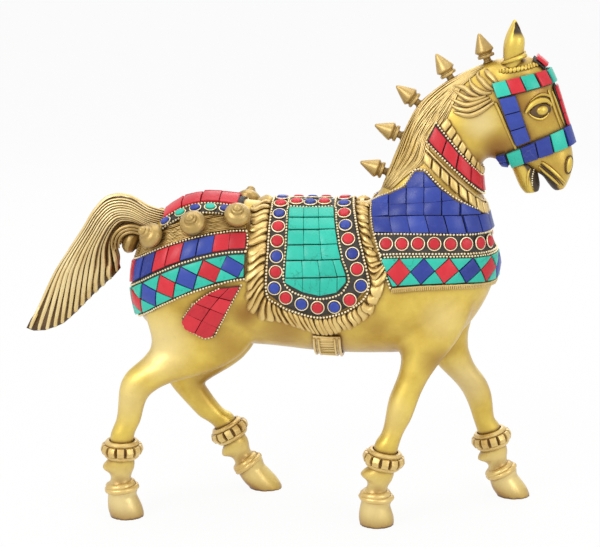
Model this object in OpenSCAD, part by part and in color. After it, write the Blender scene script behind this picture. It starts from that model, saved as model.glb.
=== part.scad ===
// Standing horse ornament: brass castings set with mosaic stones, studs, bells and finials.
// Millimetres, +Z up, +X towards the head, origin on the ground under the middle of the box.

/* [Body castings] */
// Half-width of the barrel behind the shoulder
barrel_half_w = 32; // [28:0.5:36]
// Haunches narrower than the barrel, on each side
haunch_inset = 1; // [0:0.5:3]
// Half-width of the neck at the collar
neck_half_w = 15.5; // [13:0.5:18]
// Half-width of the head across the cheeks
head_half_w = 14; // [12:0.5:16]
// Distance of each hoof from the middle plane
hoof_track = 25; // [22:0.5:29]
// Half-width of the cannon bones above the anklets
cannon_half_w = 5.8; // [5:0.1:6.2]
// Radius of the leg inside an anklet
ankle_r = 6.2; // [5.6:0.1:7]
// Half-width of the plumed tail at its broadest
tail_half_w = 10; // [8:0.5:13]
// Strands round the tail
tail_strands = 13; // [9:1:20]
// Depth of the grooves between the tail strands
strand_depth = 1.4; // [0.4:0.1:2]
// Clearance between a limb's hollow root and the body
cope_clear = 0.4; // [0.1:0.05:0.6]
// Sides of a body ring
body_sides = 28; // [24:4:48]
// Sides of a leg ring
leg_sides = 12; // [10:2:24]

/* [Finials, bells and anklets] */
// Length of a mane finial above the crest
finial_len = 14.5; // [11:0.5:18]
// Diameter of a mane finial
finial_d = 9.4; // [7:0.2:11]
// Diameter of a finial shank
finial_shank_d = 3.6; // [2.5:0.1:5]
// Diameter of a crupper bell
bell_d = 13; // [10:0.5:15]
// Diameter of the knob on a bell
bell_knob_d = 6; // [4:0.2:7]
// Height of an anklet
anklet_h = 9; // [8:0.5:13]
// Wall of an anklet under its blocks
anklet_wall = 1.9; // [1.2:0.1:2.6]
// Blocks round an anklet
anklet_blocks = 13; // [9:1:16]
// Reach of the anklet blocks beyond the wall
anklet_block_out = 2.3; // [1:0.1:3]
// Clearance between leg and anklet
anklet_clear = 0.2; // [0.05:0.05:0.4]

/* [Stone setting] */
// Clearance under beds, plates and straps
seat_clear = 0.3; // [0.1:0.05:0.4]
// Height of the dark bed's top over the brass
bed_t = 0.9; // [0.7:0.1:1.4]
// Thickness of a flat stone
stone_t = 1.2; // [0.8:0.1:2]
// Gap between neighbouring stones
stone_gap = 0.35; // [0.2:0.05:0.8]
// Clearance between a stone and its bed
stone_clear = 0.1; // [0:0.05:0.3]
// Diameter of a stud stone
stud_d = 5.3; // [4:0.1:5.6]
// Height of a stud stone
stud_h = 1.5; // [0.8:0.1:2.2]
// Thickness of the ring round a stud
bezel_wire = 0.6; // [0.4:0.1:0.8]
// Length of an oval rump stud
oval_l = 5; // [4:0.2:5.4]
// Height of an oval rump stud across the band
oval_w = 3.8; // [3:0.2:4.4]

/* [Saddle] */
// Height of the saddle cloth's top over the brass
cloth_t = 1.2; // [0.8:0.1:1.8]
// Thickness of the pleated frill at its folds
frill_t = 2.6; // [1.8:0.1:3.6]
// Depth of the pleats in the frill
pleat_depth = 1.2; // [0.5:0.1:2]
// Pleats along the frill on one side
pleats = 30; // [24:1:48]
// Width of the girth strap
girth_w = 13.5; // [9:0.5:18]
// Thickness of straps and comb fringes
strap_t = 1.4; // [0.8:0.1:2]

/* [Chest and rump] */
// Studs on one half of the breast band
breast_studs = 8; // [6:1:8]
// Diamonds on one half of the breast band
breast_diamonds = 6; // [5:1:8]
// Stones on one half of the rump band
rump_stones = 10; // [7:1:12]
// Diamonds on one half of the rump
rump_diamonds = 7; // [4:1:8]
// Comb teeth on one half of the breast fringe
comb_teeth = 16; // [14:1:30]
// Length of the comb teeth
comb_len = 2.2; // [1:0.2:4]
// Stones on one half of the neck collar
collar_stones = 5; // [4:1:7]
// Brass blocks on one half of a collar row
collar_blocks_n = 9; // [6:1:12]

/* [Hidden] */
brass = "#c9a24a";
pale_brass = "#dcc07a";
lac = "#2b2620";
red_stone = "#cf2f3a";
blue_stone = "#3a4699";
turquoise = "#27b39a";
to_centre = 2.6;
haunch_half_w = barrel_half_w - haunch_inset;

// One body station is [top x, top z, bottom x, bottom z, half-width, lower fullness, middle y].
// The top runs over rump, back, crest and face, the bottom along belly, chest, throat and jaw.
body = [
  [-83.4, 116.2, -83.4, 114.8, 0.7, 0, 0],
  [-82.6, 125, -82.6, 106.5, haunch_half_w - 22, 0, 0],
  [-80.3, 133, -80.3, 99.5, haunch_half_w - 16, 0, 0],
  [-75.8, 142, -75.8, 94, haunch_half_w - 10, 0, 0],
  [-67.7, 150.5, -67.7, 89.8, haunch_half_w - 5, 0.03, 0],
  [-57.5, 157, -57.5, 87, haunch_half_w - 1.5, 0.05, 0],
  [-46.3, 160, -46.3, 86, haunch_half_w, 0.06, 0],
  [-32.2, 159.2, -32.2, 85.6, haunch_half_w - 0.5, 0.08, 0],
  [-14, 157.4, -14, 85, barrel_half_w - 2, 0.1, 0],
  [6, 157.2, 6, 83, barrel_half_w - 1, 0.1, 0],
  [24, 157.7, 24, 82.2, barrel_half_w, 0.1, 0],
  [35, 159.5, 42, 82.5, barrel_half_w, 0.1, 0],
  [38.4, 162.3, 60, 83.5, barrel_half_w - 0.5, 0.12, 0],
  [40, 165.5, 73.8, 87.2, barrel_half_w - 1.5, 0.15, 0],
  [41.6, 169.2, 85.5, 98.6, barrel_half_w - 3.5, 0.18, 0],
  [43.2, 173.7, 93.8, 112.8, barrel_half_w - 6, 0.2, 0],
  [45, 178.5, 97.2, 125, barrel_half_w - 8.5, 0.22, 0],
  [47.1, 183.7, 96, 138, neck_half_w + 5.5, 0.24, 0],
  [49.2, 189.4, 92.8, 149.8, neck_half_w + 3.2, 0.25, 0],
  [51.9, 196.2, 90.4, 159.6, neck_half_w + 1.4, 0.25, 0],
  [55.6, 203.2, 89, 167.6, neck_half_w, 0.25, 0],
  [61.5, 210.6, 88.6, 174.5, neck_half_w - 1, 0.22, 0],
  [70.8, 217.4, 90.1, 179.4, neck_half_w - 1.5, 0.15, 0],
  [82.1, 224, 92.5, 181, head_half_w, 0.08, 0],
  [93.8, 228.6, 95.4, 180.4, head_half_w + 0.2, 0, 0],
  [104.9, 230.8, 98.8, 179, head_half_w + 0.2, -0.04, 0],
  [113.9, 229.4, 102, 177.6, head_half_w, -0.08, 0],
  [120.1, 223.2, 105, 177, head_half_w - 0.8, -0.1, 0],
  [123.7, 213.7, 107.5, 176.9, head_half_w - 2, -0.1, 0],
  [126.6, 205, 109.7, 176.3, head_half_w - 3.4, -0.05, 0],
  [129.4, 196.7, 112.2, 175.4, head_half_w - 4.4, 0, 0],
  [131.9, 188.8, 115.4, 174.3, head_half_w - 4.8, 0, 0],
  [133.3, 181, 118.8, 172.4, head_half_w - 5, 0, 0],
  [132.3, 173, 121.2, 169, head_half_w - 6.4, 0, 0],
  [129.5, 166.6, 124.7, 165.1, head_half_w - 9.5, 0, 0]
];
collar_station = 20;

// Lower jaw below the open mouth, [back x, back z, front x, front z, half-width, 0, middle y]
jaw = [
  [101, 180.5, 115, 182, 6, 0, 0],
  [103.2, 176.8, 116, 177.5, 7, 0, 0],
  [105.6, 171.5, 117, 172.5, 6.6, 0, 0],
  [107.8, 166.8, 117.8, 168, 5.8, 0, 0],
  [110.5, 163.8, 117, 164.6, 4, 0, 0]
];

// Right ear, [rear x, rear z, front x, front z, half-width, 0, middle y]; the left one mirrors it
ear = [
  [98.5, 221, 108, 221, 3.6, 0, -6.8],
  [98, 228.5, 109.4, 229.2, 4.4, 0, -7.6],
  [98, 235, 109.6, 236, 4.8, 0, -8.4],
  [100, 241.5, 107.6, 242.4, 3.4, 0, -9],
  [103, 247.2, 104.4, 247.6, 0.6, 0, -9.4]
];

// Upper legs, [rear x, rear z, front x, front z, half-width, 0, middle y]
right_hind = [
  [-77.5, 114, -28, 122, 11.5, 0, 16.5 - haunch_half_w],
  [-77.5, 103, -23, 106, 12, 0, 15.5 - haunch_half_w],
  [-74.5, 94, -20, 94, 11.8, 0, 14.5 - haunch_half_w],
  [-73, 87, -24.5, 84.8, 10.4, 0, 13 - haunch_half_w],
  [-77.5, 80.8, -41, 75, 8.8, 0, 11 - haunch_half_w],
  [-84.8, 74.5, -61.5, 69.5, 7.4, 0, 9 - haunch_half_w],
  [-88.2, 67.5, -72, 63.5, cannon_half_w + 1, 0, 2 - hoof_track],
  [-89, 59, -75.5, 57.5, cannon_half_w + 0.4, 0, 1.4 - hoof_track],
  [-90, 50, -77.5, 49, cannon_half_w, 0, 0.8 - hoof_track]
];
left_hind = [
  [-80, 112, -30, 118, 11.5, 0, haunch_half_w - 16.5],
  [-79.5, 101, -24, 101, 12, 0, haunch_half_w - 15.5],
  [-77.5, 90, -21.5, 87, 11.6, 0, haunch_half_w - 14.5],
  [-74.5, 80, -29.5, 73, 10, 0, haunch_half_w - 13],
  [-72.8, 69.8, -42, 64, 8.4, 0, haunch_half_w - 11],
  [-72.6, 59.5, -51.6, 57.6, 7.2, 0, haunch_half_w - 9],
  [-66.5, 50.5, -51, 54.5, cannon_half_w + 1, 0, hoof_track - 2],
  [-60.8, 44, -46.5, 47.5, cannon_half_w + 0.4, 0, hoof_track - 1.4],
  [-55.5, 38, -42, 42, cannon_half_w, 0, hoof_track - 0.8]
];
right_fore = [
  [46, 113, 90, 119, 11, 0, 17 - barrel_half_w],
  [48, 99, 86, 104, 12, 0, 16 - barrel_half_w],
  [50.3, 89, 79.5, 92, 11.3, 0, 15 - barrel_half_w],
  [51.2, 81, 71.5, 83, 9.6, 0, 13.5 - barrel_half_w],
  [49.2, 73, 66, 75, 8.2, 0, 12 - barrel_half_w],
  [46, 65, 62, 67, 7.4, 0, 10.5 - barrel_half_w],
  [44.6, 58, 59.5, 60, cannon_half_w + 1, 0, 2 - hoof_track],
  [43.6, 51, 57, 53.2, cannon_half_w + 0.3, 0, 1.4 - hoof_track],
  [41.8, 45.6, 54, 48, cannon_half_w, 0, 0.8 - hoof_track]
];
left_fore = [
  [48, 112, 90, 117, 11, 0, barrel_half_w - 17],
  [52, 98, 88.5, 103, 12, 0, barrel_half_w - 16],
  [57.5, 88, 85, 91, 11, 0, barrel_half_w - 15],
  [63.5, 77.5, 84.5, 81, 9.4, 0, barrel_half_w - 13.5],
  [70, 69.5, 88, 71.5, 8.2, 0, barrel_half_w - 12],
  [76.8, 62.5, 93.8, 63.8, 7.4, 0, barrel_half_w - 10.5],
  [81.8, 56, 97.2, 55.5, cannon_half_w + 1, 0, hoof_track - 2],
  [85.3, 48.5, 98.2, 47.6, cannon_half_w + 0.3, 0, hoof_track - 1.4],
  [87.4, 42, 99.2, 41, cannon_half_w, 0, hoof_track - 0.8]
];
// Foot axes, [ankle x, ankle z, sole x]
right_hind_axis = [-87, 42.5, -88];
left_hind_axis = [-43.2, 36.8, -23];
right_fore_axis = [45.2, 41, 38];
left_fore_axis = [95.6, 37, 107];

// One foot, from ankle to sole: [share of the axis, rear reach, front reach, half-width]
foot = [
  [1, -ankle_r, ankle_r, ankle_r],
  [0.73, -ankle_r, ankle_r, ankle_r],
  [0.67, -8.4, 6.8, 6.8],
  [0.585, -10.6, 6.4, 6.2],
  [0.54, -6.8, 5.4, 5.6],
  [0.46, -5.6, 4.6, 5.2],
  [0.4, -7, 6.8, 6.8],
  [0.355, -8.1, 8.4, 7.9],
  [0.31, -7.9, 8.2, 7.6],
  [0.28, -7.1, 7.4, 7],
  [0.25, -7.4, 8, 7.4],
  [0.1, -7.4, 11, 8.4],
  [0, -6, 11.6, 8]
];

// Tail, [upper x, upper z, lower x, lower z, half-width, 0, middle y]
plume = [
  [-64, 151, -69, 139, tail_half_w - 4, 0, 0],
  [-75.5, 154, -76, 141.5, tail_half_w - 3.5, 0, 0],
  [-86.5, 159.5, -82, 144.5, tail_half_w - 2.5, 0, 0],
  [-96.3, 158.7, -87, 145.2, tail_half_w - 1.5, 0, 0],
  [-103.5, 152, -90, 143.4, tail_half_w - 0.5, 0, 0],
  [-109.5, 142.5, -92.3, 140, tail_half_w - 0.5, 0, 0],
  [-117, 131.6, -93.6, 136, tail_half_w - 1, 0, 0],
  [-123.5, 122, -93.8, 132.2, tail_half_w - 2, 0, 0],
  [-128.5, 112, -93.2, 128, tail_half_w - 3.5, 0, 0],
  [-134, 100.5, -90.5, 122.5, tail_half_w - 5, 0, 0],
  [-140.6, 90, -98, 115, tail_half_w - 6.5, 0, 0],
  [-131, 89, -106, 107.6, tail_half_w - 7.5, 0, 0],
  [-121, 93, -113.8, 99.5, tail_half_w - 8.5, 0, 0]
];

// Smooth curve through a list of stations, at a whole or part station number
function spline(p0, p1, p2, p3, t) =
  0.5 * (2 * p1 + (p2 - p0) * t + (2 * p0 - 5 * p1 + 4 * p2 - p3) * t * t
         + (3 * p1 - p0 - 3 * p2 + p3) * t * t * t);
function station(list, s) =
  let (last = len(list) - 1, i = max(0, min(floor(s), last - 1)))
  spline(list[max(i - 1, 0)], list[i], list[i + 1], list[min(i + 2, last)], s - i);

// Point of a loft's skin at station s and angle a round the ring, 0 at the top, 90 on the left
function skin(list, s, a) =
  let (q = station(list, s), c = cos(a))
  [(q[0] + q[2]) / 2 + (q[0] - q[2]) / 2 * c,
   q[6] + q[4] * sin(a) * (1 - q[5] * c),
   (q[1] + q[3]) / 2 + (q[1] - q[3]) / 2 * c];
function unit(v) = v / norm(v);
function normal(list, s, a) =
  let (e = 0.03, m = max(e, min(s, len(list) - 1 - e)))
  unit(cross(skin(list, m + e, a) - skin(list, m - e, a),
             skin(list, m, a + 1) - skin(list, m, a - 1)));
function mix(p, q, t) = p + (q - p) * t;

// Station and height share, 1 at the top and -1 at the bottom, of a point seen from the side
function beyond(q, x, z) = (q[1] - q[3]) * (x - q[2]) - (q[0] - q[2]) * (z - q[3]);
function seek(list, x, z, low, high, turns, way = 1) =
  turns == 0 ? low :
  let (m = (low + high) / 2)
  way * beyond(station(list, m), x, z) > 0 ? seek(list, x, z, m, high, turns - 1, way)
                                           : seek(list, x, z, low, m, turns - 1, way);
function share(q, x, z) =
  let (dx = (q[0] - q[2]) / 2, dz = (q[1] - q[3]) / 2)
  ((x - q[2] - dx) * dx + (z - q[3] - dz) * dz) / (dx * dx + dz * dz);
function spot_at(x, z) =
  let (s = seek(body, x, z, 0, len(body) - 1, 18),
       c = share(station(body, s), x, z))
  [s, acos(max(-1, min(1, c)))];
function in_outline(x, z) =
  let (s = seek(body, x, z, 0, len(body) - 1, 18))
  s > 0.001 && s < len(body) - 1.001 && abs(share(station(body, s), x, z)) < 1;
function inside_body(p) =
  let (s = seek(body, p.x, p.z, 0, len(body) - 1, 16),
       q = station(body, s),
       c = share(q, p.x, p.z))
  s > 0.001 && s < len(body) - 1.001 && abs(c) < 1
    && abs(p.y) < q[4] * sqrt(1 - c * c) * (1 - q[5] * c);

// A place is [point, outward normal]
function place(spot) = [skin(body, spot[0], spot[1]), normal(body, spot[0], spot[1])];
function raised(q, h) = q[0] + q[1] * h;

// Arc lengths along a row of spots, and the same row at even spacing
function lengths(points) =
  [for (i = 0, d = 0; i < len(points);
        d = d + (i < len(points) - 1 ? norm(points[i + 1] - points[i]) : 0), i = i + 1) d];
function even(spots, count) =
  let (d = lengths([for (q = spots) skin(body, q[0], q[1])]),
       total = d[len(d) - 1],
       to_s = [for (i = [0:len(d) - 1]) [d[i], spots[i][0]]],
       to_a = [for (i = [0:len(d) - 1]) [d[i], spots[i][1]]])
  [for (k = [0:count]) [lookup(total * k / count, to_s), lookup(total * k / count, to_a)]];

// Row of spots where a band line [x0, z0, x1, z1, bow] crosses the body, from its start to the
// middle plane at the front or rear
function line_at(line, u) =
  [mix(line[0], line[2], u), mix(line[1], line[3], u) + line[4] * 4 * u * (1 - u)];
function line_end(line, low, high, turns) =
  turns == 0 ? low :
  let (m = (low + high) / 2, p = line_at(line, m))
  in_outline(p.x, p.y) ? line_end(line, m, high, turns - 1) : line_end(line, low, m, turns - 1);
function line_spots(line) =
  let (end = line_end(line, 0.5, 1, 14))
  [for (i = [0:20])
    let (v = 1 - i / 20, p = line_at(line, end * (1 - v * v)))
    spot_at(p.x, p.y)];
function band_row(line, count) = even(line_spots(line), count);

// Row of spots at one station between two angles
function ring_row(s, from, to, count) =
  even([for (i = [0:16]) [s, mix(from, to, i / 16)]], count);

// Spot at distance x along the back and g down the side from the spine
function girth_table(s) =
  let (d = lengths([for (i = [0:24]) skin(body, s, i * 7.5)]))
  [for (i = [0:24]) [d[i], i * 7.5]];
function girth_spot(x, g) =
  let (s0 = seek(body, x, 125, 0, 17, 16),
       a0 = lookup(abs(g), girth_table(s0)),
       s1 = seek(body, x, skin(body, s0, a0).z, 0, 17, 16),
       a1 = lookup(abs(g), girth_table(s1)))
  [s1, g < 0 ? -a1 : a1];

// Spot mirrored to the side, -1 for the right and 1 for the left
function sided(spot, side) = [spot[0], side * spot[1]];

// Foot rows as stations on a leaning axis; the rings level out towards the sole
function foot_stations(axis, y) =
  let (lean = atan2(axis[2] - axis[0], axis[1]))
  [for (row = foot)
    let (h = row[0],
         x = axis[2] + (axis[0] - axis[2]) * h,
         z = axis[1] * h,
         t = lean * min(1, h / 0.4))
    [x + row[1] * cos(t), z + row[1] * sin(t), x + row[2] * cos(t), z + row[2] * sin(t),
     row[3], 0, y]];
right_hind_all = concat(right_hind, foot_stations(right_hind_axis, -hoof_track));
left_hind_all = concat(left_hind, foot_stations(left_hind_axis, hoof_track));
right_fore_all = concat(right_fore, foot_stations(right_fore_axis, -hoof_track));
left_fore_all = concat(left_fore, foot_stations(left_fore_axis, hoof_track));

// Faces of a closed loft of equal rings
function wall_faces(first, rings, sides) =
  [for (i = [0:rings - 2]) for (j = [0:sides - 1])
    let (k = (j + 1) % sides, p = first + i * sides, q = first + (i + 1) * sides)
    each [[p + j, q + k, p + k], [p + j, q + j, q + k]]];
function loft_faces(rings, sides) = concat(
  [[for (j = [0:sides - 1]) j]],
  wall_faces(0, rings, sides),
  [[for (j = [sides - 1:-1:0]) (rings - 1) * sides + j]]);

module loft(list, from, to, sides, step) {
  count = round((to - from) / step);
  points = [for (i = [0:count]) for (j = [0:sides - 1])
    skin(list, from + i * step, j * 360 / sides)];
  polyhedron(points, loft_faces(count + 1, sides));
}

// Station at which the line at angle a of a limb leaves the body
function leave(list, a, low, high, turns) =
  turns == 0 ? high :
  let (m = (low + high) / 2)
  inside_body(skin(list, m, a)) ? leave(list, a, m, high, turns - 1)
                                : leave(list, a, low, m, turns - 1);

// A limb coped to the body: its root is a saddle-shaped face on the body's skin.
// The rings run from the root to station `full`, then at half stations to the end.
module limb(list, sides, reach, full, wrap, groove = 0, cycles = 0) {
  angles = [for (j = [0:sides - 1]) -j * 360 / sides];
  root = [for (a = angles) leave(list, a, 0, reach, 14)];
  root_spots = [for (j = [0:sides - 1])
    let (p = skin(list, root[j], angles[j]),
         q = spot_at(p.x, p.z),
         a = p.y < 0 ? -q[1] : q[1])
    [q[0], wrap && a < 0 ? a + 360 : a]];
  middle = [for (m = [0, 1]) [for (q = root_spots) q[m]] * [for (q = root_spots) 1] / sides];
  last = len(list) - 1;
  upper = 2 * ceil(full / 2);
  lower = round((last - full) * 2);
  stations = concat(
    [for (i = [0:upper]) [for (j = [0:sides - 1]) mix(root[j], full, i / upper)]],
    [for (i = [1:lower]) [for (j = [0:sides - 1]) full + i / 2]]);
  cap = [for (r = [1 / 3, 2 / 3]) for (q = root_spots)
    raised(place(mix(middle, q, r)), cope_clear)];
  walls = [for (i = [0:len(stations) - 1]) for (j = [0:sides - 1])
    let (s = stations[i][j],
         p = skin(list, s, angles[j]),
         q = station(list, s),
         core = [(q[0] + q[2]) / 2, q[6], (q[1] + q[3]) / 2],
         cut = groove * (1 - cos(cycles * angles[j])) / 2 * min(1, i / 4))
    p + (core - p) * cut];
  points = concat([raised(place(middle), cope_clear)], cap, walls);
  rings = len(stations) + 2;
  polyhedron(points, concat(
    [for (j = [0:sides - 1]) [0, 1 + j, 1 + (j + 1) % sides]],
    wall_faces(1, rings, sides),
    [[for (j = [sides - 1:-1:0]) 1 + (rings - 1) * sides + j]]));
}

// Thin plate over a grid of places, from height h0 to h1; rows by columns turn outwards
module plate(grid, h0, h1) {
  rows = len(grid);
  cols = len(grid[0]);
  n = rows * cols;
  points = concat([for (row = grid) for (q = row) raised(q, h0)],
                  [for (row = grid) for (q = row) raised(q, h1)]);
  cells = [for (i = [0:rows - 2]) for (j = [0:cols - 2]) i * cols + j];
  rim = concat([for (j = [0:cols - 2]) j],
               [for (i = [0:rows - 2]) i * cols + cols - 1],
               [for (j = [cols - 1:-1:1]) (rows - 1) * cols + j],
               [for (i = [rows - 1:-1:1]) i * cols]);
  m = len(rim);
  polyhedron(points, concat(
    [for (c = cells) each [[n + c, n + c + cols + 1, n + c + 1], [n + c, n + c + cols, n + c + cols + 1]]],
    [for (c = cells) each [[c, c + 1, c + cols + 1], [c, c + cols + 1, c + cols]]],
    [for (i = [0:m - 1])
      let (p = rim[i], q = rim[(i + 1) % m])
      each [[p, n + q, q], [p, n + p, n + q]]]));
}

// Corners of a convex outline moved inwards by d
function inset(p, d) =
  let (n = len(p))
  [for (i = [0:n - 1])
    let (u = unit(p[i] - p[(i + n - 1) % n]),
         v = unit(p[(i + 1) % n] - p[i]),
         a = [-u.y, u.x],
         b = [-v.y, v.x])
    p[i] + (a + b) * d / (1 + a * b)];

// Matrix of a frame whose z axis is n and whose x axis leans towards t
function frame(p, n, t) =
  let (x = unit(t - n * (t * n)), y = cross(n, x))
  [[x.x, y.x, n.x, p.x], [x.y, y.y, n.y, p.y], [x.z, y.z, n.z, p.z], [0, 0, 0, 1]];

// Flat stone over places given in turn round its outline, bedded at its middle
module stone(corners, centre, base = 0, t = stone_t) {
  n = centre[1];
  x = unit(corners[1][0] - corners[0][0] - n * ((corners[1][0] - corners[0][0]) * n));
  y = cross(n, x);
  p = raised(centre, base + bed_t + stone_clear);
  outline = [for (q = corners) [(q[0] - p) * x, (q[0] - p) * y]];
  twice = [for (i = [0:len(outline) - 1])
    let (u = outline[i], v = outline[(i + 1) % len(outline)]) u.x * v.y - u.y * v.x]
    * [for (q = outline) 1];
  turned = twice > 0 ? outline : [for (i = [len(outline) - 1:-1:0]) outline[i]];
  multmatrix(frame(p, n, x)) linear_extrude(t) polygon(inset(turned, stone_gap / 2));
}
// Both halves of a band row, meeting at the middle plane: chest rows start on the left
function chest_places(row) = concat(
  [for (q = row) place(q)],
  [for (k = [len(row) - 2:-1:0]) place(sided(row[k], -1))]);
function rump_places(row) = concat(
  [for (q = row) place(sided(q, -1))],
  [for (k = [len(row) - 2:-1:0]) place(row[k])]);

// Stones of one colour along both halves of a band between two lines
module band_stones(upper, lower, count, picked) {
  top = band_row(upper, count);
  bottom = band_row(lower, count);
  centre = band_row((upper + lower) / 2, 2 * count);
  for (side = [-1, 1]) for (k = [0:count - 1]) if (picked[k % len(picked)])
    stone([place(sided(top[k], side)), place(sided(top[k + 1], side)),
           place(sided(bottom[k + 1], side)), place(sided(bottom[k], side))],
          place(sided(centre[2 * k + 1], side)));
}

// Diamonds, every second one from the first or second, leaning by eighths of their length
module band_diamonds(upper, lower, count, first, lean = 0) {
  top = band_row(upper, 8 * count);
  bottom = band_row(lower, 8 * count);
  centre = band_row((upper + lower) / 2, 2 * count);
  for (side = [-1, 1]) for (k = [first:2:count - 1])
    stone([place(sided(top[8 * k + 4 + lean], side)), place(sided(centre[2 * k + 2], side)),
           place(sided(bottom[8 * k + 4 - lean], side)), place(sided(centre[2 * k], side))],
          place(sided(centre[2 * k + 1], side)));
}

// Triangles above and below the diamonds, with half ones at the start of the band
module band_triangles(upper, lower, count, lean = 0) {
  centre = band_row((upper + lower) / 2, 2 * count);
  for (edge_lean = [[upper, lean], [lower, -lean]]) {
    edge = band_row(edge_lean[0], 8 * count);
    first = 4 + edge_lean[1];
    inner = band_row(mix((upper + lower) / 2, edge_lean[0], 0.62), 8 * count);
    for (side = [-1, 1]) {
      for (k = [0:count - 2])
        stone([place(sided(edge[8 * k + first], side)), place(sided(edge[8 * k + 8 + first], side)),
               place(sided(centre[2 * k + 2], side))],
              place(sided(inner[8 * k + 4 + first], side)));
      stone([place(sided(edge[0], side)), place(sided(edge[first], side)),
             place(sided(centre[0], side))],
            place(sided((inner[0] * 2 + inner[first]) / 3, side)));
    }
    last = 8 * count - 8 + first;
    stone([place(edge[last]), place(sided(edge[last], -1)), place(centre[2 * count])],
          place(inner[8 * count]));
  }
}

// Round stud and its ring at a place
function along(n) = abs(n.x) > 0.8 ? [0, 0, 1] : [1, 0, 0];
module stud(q, base = 0)
  multmatrix(frame(raised(q, base + bed_t + stone_clear), q[1], along(q[1])))
    rotate_extrude($fn = 32)
      polygon([[0, 0], [stud_d / 2, 0], [stud_d / 2, stud_h * 0.6], [stud_d * 0.38, stud_h],
               [0, stud_h]]);
// Gap between a round stud and its ring
bezel_gap = 0.2;
module bezel(q, base = 0) {
  r = stud_d / 2 + bezel_gap;
  multmatrix(frame(raised(q, base + bed_t + stone_clear), q[1], along(q[1])))
    rotate_extrude($fn = 32)
      polygon([[r, 0], [r + bezel_wire, 0], [r + bezel_wire, bezel_wire * 0.6],
               [r + bezel_wire / 2, bezel_wire], [r, bezel_wire * 0.9]]);
}
function ellipse(l, w) = [for (i = [0:23]) [l / 2 * cos(i * 15), w / 2 * sin(i * 15)]];
module oval(q)
  multmatrix(frame(raised(q, bed_t + stone_clear), q[1], along(q[1])))
    linear_extrude(stud_h) polygon(ellipse(oval_l, oval_w));
module oval_bezel(q)
  multmatrix(frame(raised(q, bed_t + stone_clear), q[1], along(q[1])))
    linear_extrude(bezel_wire) difference() {
      polygon(ellipse(oval_l + 0.1 + 2 * bezel_wire, oval_w + 0.1 + 2 * bezel_wire));
      polygon(ellipse(oval_l + 0.1, oval_w + 0.1));
    }

// Castings
module trunk() color(brass) loft(body, 0, collar_station, body_sides, 0.5);
module head_and_neck() color(brass) loft(body, collar_station, len(body) - 1, body_sides, 0.5);
module lower_jaw() color(brass) limb(jaw, leg_sides, 2, 2, true);
module ears() color(brass) for (side = [-1, 1])
  limb([for (q = ear) [q[0], q[1], q[2], q[3], q[4], 0, -side * q[6]]], leg_sides, 2, 2, false);
module tail() color(brass)
  limb(plume, 2 * tail_strands, 2, 2, false, strand_depth / tail_half_w, tail_strands);
module right_hind_leg() color(brass) limb(right_hind_all, leg_sides, 4, 4, false);
module left_hind_leg() color(brass) limb(left_hind_all, leg_sides, 4, 4, false);
module right_fore_leg() color(brass) limb(right_fore_all, leg_sides, 4, 4, false);
module left_fore_leg() color(brass) limb(left_fore_all, leg_sides, 4, 4, false);

// Anklet on a foot axis: a ring with two rolled edges and a row of blocks
anklet_share = 0.83;
module anklet(axis, side) color(pale_brass) {
  up = unit([axis[0] - axis[2], 0, axis[1]]);
  p = [mix(axis[2], axis[0], anklet_share), side * hoof_track, axis[1] * anklet_share];
  bore = ankle_r + anklet_clear;
  r = bore + anklet_wall;
  h = anklet_h / 2;
  multmatrix(frame(p, up, [1, 0, 0])) union() {
    rotate_extrude($fn = 48)
      polygon([[bore, -h], [r - 0.4, -h], [r + 0.4, -h + 0.9], [r + 0.4, -h + 1.8], [r - 0.5, -h + 2.6],
               [r - 0.5, h - 2.6], [r + 0.2, h - 1.8], [r + 0.2, h - 0.9], [r - 0.6, h], [bore, h]]);
    for (i = [0:anklet_blocks - 1]) rotate([0, 0, i * 360 / anklet_blocks])
      translate([r - 1.2, 0, 0]) rotate([90, 0, 0]) linear_extrude(3.3, center = true)
        polygon([[0, 2 - h], [anklet_block_out + 0.4, 2.3 - h], [anklet_block_out + 1.2, 0],
                 [anklet_block_out + 0.4, h - 2.2], [0, h - 2]]);
  }
}
module right_hind_anklet() anklet(right_hind_axis, -1);
module left_hind_anklet() anklet(left_hind_axis, 1);
module right_fore_anklet() anklet(right_fore_axis, -1);
module left_fore_anklet() anklet(left_fore_axis, 1);

// Five finials on the crest, from the withers to the poll
finial_stations = [14.9, 18.3, 20.5, 22.25, 23.75];
module mane_finials() color(pale_brass) for (s = finial_stations) {
  r = finial_d / 2;
  shank = finial_shank_d / 2;
  q = place([s, 0]);
  multmatrix(frame(raised(q, -0.3), q[1], [0, 1, 0])) rotate_extrude($fn = 40)
    polygon([[0, 0], [shank + 0.8, 0], [shank, 0.8], [shank, 2.2], [r * 0.86, 2.4], [r * 0.9, 3.6],
             [r * 0.7, 4.2], [r * 0.76, 4.6], [r, 5.6], [r * 0.9, 7], [r * 0.5, finial_len * 0.76],
             [r * 0.16, finial_len - 0.4], [0, finial_len]]);
}

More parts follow.
